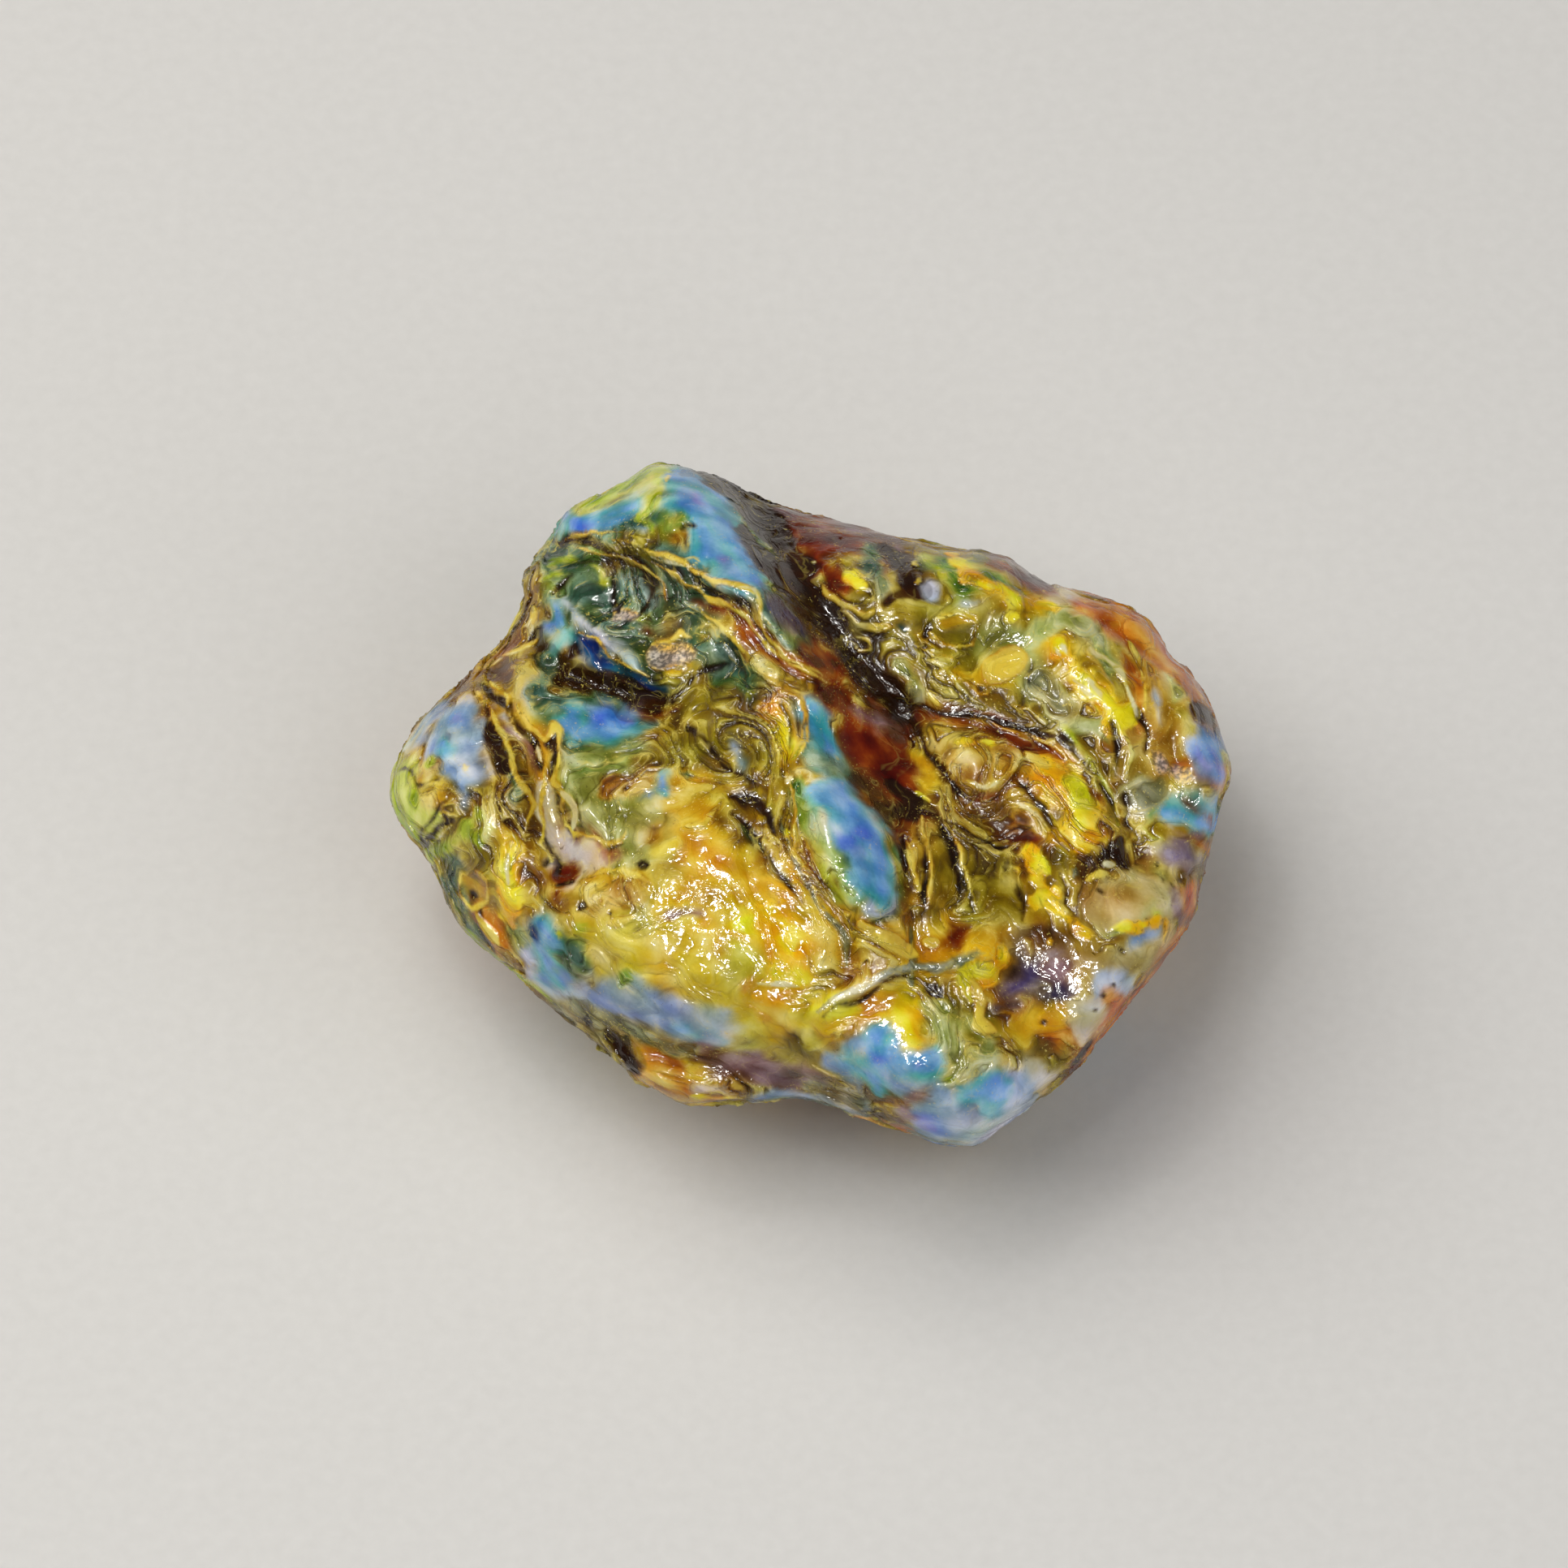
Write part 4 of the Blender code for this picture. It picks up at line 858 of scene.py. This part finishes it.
# Where each vertex lies in the marbling, its three strands, how calm it is there, and the relief in mm
def marble(drawn, front, calm, lift, patchNear):
    bent = drawn.copy()
    for size, reach, seed in marbling["bend"]:
        bent += reach * driftOf(drawn, size, seed)
    flowU, flowV = stirred(bent[:, 0], bent[:, 1])
    creases = np.array([pathDistance(flowU, flowV, path) for path in marbling["creases"]])
    beside = -marbling["blend"] * np.log(np.exp(-creases / marbling["blend"]).sum(axis=0))
    pull = np.exp(-np.maximum(beside, 0) / marbling["reach"]) * front
    slant = math.radians(marbling["slant"])
    across = marbling["slantShare"] * (flowU * math.sin(slant) + flowV * math.cos(slant))
    across = across + marbling["pull"] * pull + marbling["patchPull"] * patchNear
    acrossShare, alongShare = marbling["depthShare"]
    across += acrossShare * bent[:, 2]
    flow = np.column_stack([across, flowU, flowV + alongShare * bent[:, 2]])
    strands = []
    for width, length, seed in marbling["strands"]:
        strands.append(noiseOf(flow / [width, length, length], 1.0, seed))
    broad, middle, fine = strands

    lull = marbling["lull"] - marbling["creaseStir"] * pull + noiseField(drawn, "lull")
    calm = np.maximum(calm, np.clip(lull, 0, marbling["lullMost"]))
    for poolU, poolV, radius in marbling["pools"]:
        away = np.hypot(drawn[:, 0] - poolU, drawn[:, 1] - poolV) / radius
        calm = np.maximum(calm, marbling["still"] * front * np.exp(-away**4))
    relief = lift.copy()
    for beadU, beadV, radius in beads + scattered():
        near = np.hypot(drawn[:, 0] - beadU, drawn[:, 1] - beadV) / radius
        dome = np.clip(1 - near**2, 0, 1) * front
        relief += marbling["bead"] * radius * dome
        calm = np.maximum(calm, marbling["still"] * smoothStep(0, 0.5, dome))

    lively = 1 - calm
    height, cap, level = marbling["pillow"]
    pillows = height * (np.minimum(np.abs(broad), cap) - level) - reliefLine(broad, "fold")
    threads = reliefLine(middle, "ridge") - reliefLine(middle, "groove") + reliefLine(fine, "fibre")
    share = front + marbling["backDepth"] * (1 - front)
    pillowLeast, pillowMore = marbling["pillowShare"]
    lineLeast, lineMore = marbling["lineShare"]
    pillowShare = share * (pillowLeast + pillowMore * lively)
    relief += pillowShare * pillows + share * (lineLeast + lineMore * lively) * threads
    behind = marbling["backLumps"] * (1 - front)
    relief += noiseField(drawn, "lumps") + behind * noiseField(drawn, "backLumps")
    return flow, strands, calm, relief


# What lies on each vertex: resin colour, place in the marbling, marks for the material, and relief in mm
def surfaceMarks(drawn, facing):
    front = smoothStep(*skinMake["paintFades"], facing + noiseField(drawn, "edge"))
    wobbly = drawn.copy()
    for size, reach, seed in skinMake["wobble"]:
        wobbly += reach * driftOf(drawn, size, seed)
    colour, calm, lift, patchNear, marks = layResins(drawn, wobbly, front)
    flow, strands, calm, relief = marble(drawn, front, calm, lift, patchNear)
    for channel, name in enumerate(("red", "green", "blue")):
        colour[:, channel] *= 1 + noiseField(wobbly, name)
    marks["calm"] = calm
    # Painted shade: the resin deepens towards the rim, where the surface turns away from the eye
    marks["rimShade"] = front * smoothStep(*skinMake["rimShadeFacing"], facing)
    marks["fold"], marks["strand"], marks["fibre"] = strands
    return colour, flow, marks, relief


def applyModifier(piece, kind, **settings):
    modifier = piece.modifiers.new(kind.lower(), kind)
    for name, value in settings.items():
        setattr(modifier, name, value)
    bpy.ops.object.modifier_apply(modifier=modifier.name)


def triangleCount(mesh):
    return sum(len(face.vertices) - 2 for face in mesh.polygons)


def groupOf(piece, name, picked):
    group = piece.vertex_groups.new(name=name)
    group.add(np.flatnonzero(picked).tolist(), 1.0, "REPLACE")


# Thins out the triangles of the picked vertices only
def thin(piece, picked, kept):
    groupOf(piece, "thinned", picked)
    applyModifier(piece, "TRIANGULATE")
    applyModifier(piece, "DECIMATE", ratio=1 - (1 - kept) * picked.mean(), vertex_group="thinned")
    piece.vertex_groups.clear()


# How far each vertex stands proud of its surroundings, in mm: above 0 on ridges, below it in grooves. The
# material uses it to paint shade into the grooves and light onto the ridges
def standingOf(mesh, points, normals, rounds):
    ends = np.empty(len(mesh.edges) * 2, dtype=np.int64)
    mesh.edges.foreach_get("vertices", ends)
    here, there = np.concatenate([ends[::2], ends[1::2]]), np.concatenate([ends[1::2], ends[::2]])
    count = np.bincount(here, minlength=len(points))
    soft = points.copy()
    for _ in range(rounds):
        for axis in range(3):
            mean = np.bincount(here, soft[there, axis], len(points)) / count
            soft[:, axis] = (soft[:, axis] + mean) / 2
    return ((points - soft) * normals).sum(axis=1) / mm


# A copy of the nugget's mesh, welded, made even and smoothed
def startSkin():
    bpy.ops.object.select_all(action="DESELECT")
    skin = bpy.data.objects.new("amberSkin", nugget.data.copy())
    skin.data.name = "amberSkin"
    bpy.context.scene.collection.objects.link(skin)
    skin.select_set(True)
    bpy.context.view_layer.objects.active = skin
    bpy.ops.object.mode_set(mode="EDIT")
    bpy.ops.mesh.select_all(action="SELECT")
    bpy.ops.mesh.remove_doubles(threshold=skinMake["weld"] * mm)
    bpy.ops.object.mode_set(mode="OBJECT")
    applyModifier(skin, "SUBSURF", levels=1, render_levels=1)
    applyModifier(skin, "REMESH", mode="VOXEL", voxel_size=skinMake["voxel"] * mm)
    applyModifier(skin, "SMOOTH", factor=0.5, iterations=skinMake["smoothing"])
    groupOf(skin, "behind", vertexArray(skin.data, "normal") @ eyeward < skinMake["edgeFacing"])
    applyModifier(skin, "SMOOTH", factor=0.5, iterations=skinMake["smoothingBehind"], vertex_group="behind")
    skin.vertex_groups.clear()
    print("skin remeshed:", triangleCount(skin.data), "triangles")
    return skin


def carveSkin(skin):
    points, normals = vertexArray(skin.data, "co"), vertexArray(skin.data, "normal")
    facing = normals @ eyeward
    relief = surfaceMarks(toLook(points), facing)[-1]
    front = smoothStep(*skinMake["pushTurns"], facing)
    push = eyeward * front[:, None] + normals * (1 - front[:, None])
    low, high = skinMake["groundFades"]
    offGround = smoothStep(low * mm, high * mm, points[:, 2])
    points += push * (relief * offGround * mm)[:, None]
    points[:, 2] = np.maximum(points[:, 2], 0)
    skin.data.vertices.foreach_set("co", points.ravel())
    skin.data.update()
    print("skin carved")
    thin(skin, facing >= skinMake["edgeFacing"], skinMake["frontKept"])
    thin(skin, vertexArray(skin.data, "normal") @ eyeward < skinMake["edgeFacing"], skinMake["backKept"])
    skin.data.shade_smooth()
    print("skin thinned:", triangleCount(skin.data), "triangles")


def paintSkin(skin):
    points, normals = vertexArray(skin.data, "co"), vertexArray(skin.data, "normal")
    colour, flow, marks, _ = surfaceMarks(toLook(points), normals @ eyeward)
    # Painted shade for the grooves and painted light for the ridges
    marks["grooveShadeRidgeLight"] = standingOf(skin.data, points, normals, skinMake["standingRounds"])
    for name, values in marks.items():
        made = skin.data.attributes.new(name, "FLOAT", "POINT")
        made.data.foreach_set("value", values.astype(np.float32))
    for name, values in (("resin", colour), ("flow", flow)):
        made = skin.data.attributes.new(name, "FLOAT_VECTOR", "POINT")
        made.data.foreach_set("vector", values.astype(np.float32).ravel())
    print("skin painted")


# The resin's material. Lines are drawn where a field comes close to a level
amber = {
    "darkLine": "#381c04",
    "brightLine": "#ffea72",
    "roughness": (0.08, 0.15),
    "livelyRoughness": 0.20,   # added where the marbling is lively
    "grainRoughness": 0.35,
    "transmission": 0.22,
    "ior": 1.54,
    "specular": 0.16,
    "absorbColour": (0.95, 0.88, 0.45, 1),
    "absorbDensity": 450,
    # Noise: size in mm, detail, roughness
    "ragged": (1.1, 1, 0.5),
    "small": (0.32, 1, 0.5),
    "slow": (4.0, 0, 0.55),
    "lumps": (1.7, 0, 0.55),
    "dust": (0.22, 1, 0.55),
    "hair": (2.3, 0.50, 0.50),  # how much finer than the marbling the hairs are, across and along
    # How much each makes the resin lighter and deeper
    "play": {"fold": 0.5, "strand": 0.6, "fibre": 0.7, "hair": 0.7},
    "lumpsPlay": 1.3,
    "smallPlay": 0.25,
    # painted shade that deepens the resin towards the rim
    "rimShadePlay": -0.35,
    "power": (2.3, 0.45),        # where it is deepest and where it is palest
    "brightness": (0.78, 1.20),
    # Level and width of each line, then the fibre's share and the strength of all
    "ink": {"fold": (0.0, 0.045), "strand": (-0.17, 0.06), "fibre": (-0.16, 0.05), "share": 0.6},
    "inkStrength": 0.80,
    "shine": {"fold": (0.075, 0.025), "strand": (0.04, 0.050), "fibre": (0.0, 0.06), "share": 0.7},
    "shineStrength": 0.85,
    "seamWidth": (0.14, 0.03),
    "seamStrength": 0.50,
    # Painted lines: field, where it starts and is full, strength, colour
    "drawn": [
        ("umber", 0.0, 0.25, 0.40, "#381c04"),
        ("gold", 0.0, 0.20, 0.55, "#ffe658"),
        # pale threads and painted highlights
        ("paleAndGlint", -0.02, 0.10, 0.50, "#fffad0"),
    ],
    # Lines in the bump: field, level, width, height
    "fineLines": [
        ("fibre", 0.0, 0.11, 0.8),
        ("strand", 0.04, 0.09, 1.0),
        ("strand", -0.17, 0.08, -0.9),
        ("fold", 0.0, 0.05, -0.7),
    ],
    "fineGrain": 0.30,
    "bump": 0.8,
    "bumpDepth": 0.10,           # mm
}


def makeAmber():
    material = bpy.data.materials.new("amberResin")
    material.use_nodes = True
    tree = material.node_tree
    shader = tree.nodes["Principled BSDF"]
    place = tree.nodes.new("ShaderNodeTexCoord").outputs["Object"]
    link = tree.links.new

    def feed(socket, value):
        if isinstance(value, bpy.types.NodeSocket):
            link(value, socket)
        else:
            socket.default_value = value

    def reckon(kind, a, b=0.0):
        made = tree.nodes.new("ShaderNodeMath")
        made.operation = kind
        feed(made.inputs[0], a)
        feed(made.inputs[1], b)
        return made.outputs[0]

    def joined(kind, terms):
        value = terms[0]
        for term in terms[1:]:
            value = reckon(kind, value, term)
        return value

    def total(*terms):
        return joined("ADD", terms)

    def times(*terms):
        return joined("MULTIPLY", terms)

    def most(*terms):
        return joined("MAXIMUM", terms)

    def spread(value, low, high, to=(0, 1)):
        made = tree.nodes.new("ShaderNodeMapRange")
        made.interpolation_type = "SMOOTHSTEP"
        feed(made.inputs["Value"], value)
        for name, amount in zip(("From Min", "From Max", "To Min", "To Max"), (low, high, *to)):
            feed(made.inputs[name], amount)
        return made.outputs["Result"]

    # 1 where the value is close to a level, falling to 0 at the given width away
    def lineAt(value, level, width):
        away = reckon("ABSOLUTE", reckon("SUBTRACT", value, level))
        return most(reckon("SUBTRACT", 1.0, reckon("DIVIDE", away, width)), 0.0)

    def blend(share, under, over):
        made = tree.nodes.new("ShaderNodeMix")
        made.data_type = "RGBA"
        feed(made.inputs[0], share)
        feed(made.inputs[6], under)
        feed(made.inputs[7], over)
        return made.outputs[2]

    def vectorStep(kind, vector, amount, name):
        made = tree.nodes.new("ShaderNodeVectorMath")
        made.operation = kind
        feed(made.inputs[0], vector)
        feed(made.inputs[name], amount)
        return made.outputs[0]

    def noiseAt(vector, scale, detail, roughness):
        made = addNode(tree, "ShaderNodeTexNoise", Scale=scale, Detail=float(detail), Roughness=roughness)
        link(vector, made.inputs["Vector"])
        return reckon("SUBTRACT", made.outputs["Fac"], 0.5)

    def noiseIn(name):
        size, detail, roughness = amber[name]
        return noiseAt(place, 1 / (size * mm), detail, roughness)

    def painted(name, output="Fac"):
        made = tree.nodes.new("ShaderNodeAttribute")
        made.attribute_name = name
        return made.outputs[output]

    ragged, small, slow, lumps = (noiseIn(name) for name in ("ragged", "small", "slow", "lumps"))
    hair = noiseAt(vectorStep("MULTIPLY", painted("flow", "Vector"), amber["hair"], 1), 1.0, 1, 0.5)
    lively = reckon("SUBTRACT", 1.0, painted("calm"))
    rag = total(times(ragged, 0.16), times(small, 0.05))
    fields = {"hair": hair}
    for name, amount in (("fold", 0.10), ("strand", 0.18), ("fibre", 0.20)):
        fields[name] = total(painted(name), times(ragged, amount))

    def livelier(more, least):
        return total(times(lively, more), least)

    # Strands lighten and deepen the resin: a power above 1 makes it darker and richer, below 1 paler
    play = total(*[times(fields[name], amount) for name, amount in amber["play"].items()])
    play = total(times(play, livelier(0.85, 0.15)), times(lumps, amber["lumpsPlay"]),
                 times(small, amber["smallPlay"]))
    # Painted shade deepens the resin in the grooves and painted light pales it on the ridges, more where the
    # marbling is lively
    grooveShadeRidgeLight = times(painted("grooveShadeRidgeLight"), livelier(2.4, 1.0))
    # Painted shade deepens the resin towards the rim
    play = total(play, grooveShadeRidgeLight, times(painted("rimShade"), amber["rimShadePlay"]))
    power = tree.nodes.new("ShaderNodeGamma")
    feed(power.inputs["Color"], painted("resin", "Vector"))
    feed(power.inputs["Gamma"], spread(play, -1.0, 1.0, amber["power"]))
    brightness = spread(play, -0.9, 0.9, amber["brightness"])
    colour = vectorStep("SCALE", power.outputs["Color"], brightness, "Scale")

    # Brown folds and grooves, and pale yellow threads on the ridges beside them
    here = spread(slow, -0.10, 0.08)

    def linesOf(name):
        found = {field: lineAt(fields[field], *amber[name][field]) for field in ("fold", "strand", "fibre")}
        return most(times(found["fold"], here), found["strand"], times(found["fibre"], amber[name]["share"]))

    colour = blend(times(linesOf("ink"), lively, amber["inkStrength"]), colour, tint(amber["darkLine"]))
    shine = times(linesOf("shine"), lively, spread(total(ragged, lumps), -0.15, 0.22))
    colour = blend(times(shine, amber["shineStrength"]), colour, tint(amber["brightLine"]))

    # Seams round the patches, dark veins, gold threads, and pale threads with painted highlights
    seam = spread(total(painted("seam"), rag), *amber["seamWidth"])
    seam = times(seam, spread(slow, -0.12, 0.10), amber["seamStrength"])
    colour = blend(seam, colour, tint(amber["darkLine"]))
    for name, start, full, strength, web in amber["drawn"]:
        share = times(spread(total(painted(name), rag), start, full), strength)
        colour = blend(share, colour, tint(web))

    # Fine gold and brown flecks
    dust = noiseIn("dust")
    fleck = times(spread(dust, 0.13, 0.20), spread(total(ragged, times(slow, -1.0)), -0.05, 0.15))
    colour = blend(times(fleck, livelier(0.55, 0.20)), colour, tint(amber["brightLine"]))
    speck = times(spread(dust, -0.15, -0.21), spread(total(ragged, slow), 0.0, 0.18))
    colour = blend(times(speck, livelier(0.45, 0.15)), colour, tint(amber["darkLine"]))

    # Fine speckle of the granular flakes
    speckle = spread(small, -0.12, 0.14, (0.35, 1.25))
    speckle = total(1.0, times(painted("rough"), reckon("SUBTRACT", speckle, 1.0)))
    colour = vectorStep("SCALE", colour, speckle, "Scale")

    feed(shader.inputs["Base Color"], colour)
    roughness = spread(ragged, -0.25, 0.25, amber["roughness"])
    grainRoughness = times(painted("rough"), amber["grainRoughness"])
    roughness = total(roughness, times(lively, amber["livelyRoughness"]), grainRoughness)
    feed(shader.inputs["Roughness"], roughness)
    shader.inputs["IOR"].default_value = amber["ior"]
    shader.inputs["Specular IOR Level"].default_value = amber["specular"]
    shader.inputs["Transmission Weight"].default_value = amber["transmission"]

    # The thin ridges and grooves again, finer than the mesh can hold them
    fine = []
    for name, level, width, high in amber["fineLines"]:
        fine.append(times(lineAt(fields[name], level, width), high))
    height = total(times(total(*fine), lively), times(small, amber["fineGrain"]))
    bump = addNode(tree, "ShaderNodeBump", Strength=amber["bump"], Distance=amber["bumpDepth"] * mm)
    link(height, bump.inputs["Height"])
    link(bump.outputs["Normal"], shader.inputs["Normal"])

    depth = addNode(tree, "ShaderNodeVolumeAbsorption", Color=amber["absorbColour"],
                    Density=amber["absorbDensity"])
    link(depth.outputs["Volume"], tree.nodes["Material Output"].inputs["Volume"])
    return material


skin = startSkin()
carveSkin(skin)
paintSkin(skin)
skin.data.materials.clear()
skin.data.materials.append(makeAmber())
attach(skin, "root")
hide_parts("amber_nugget")
print("amber material ready")
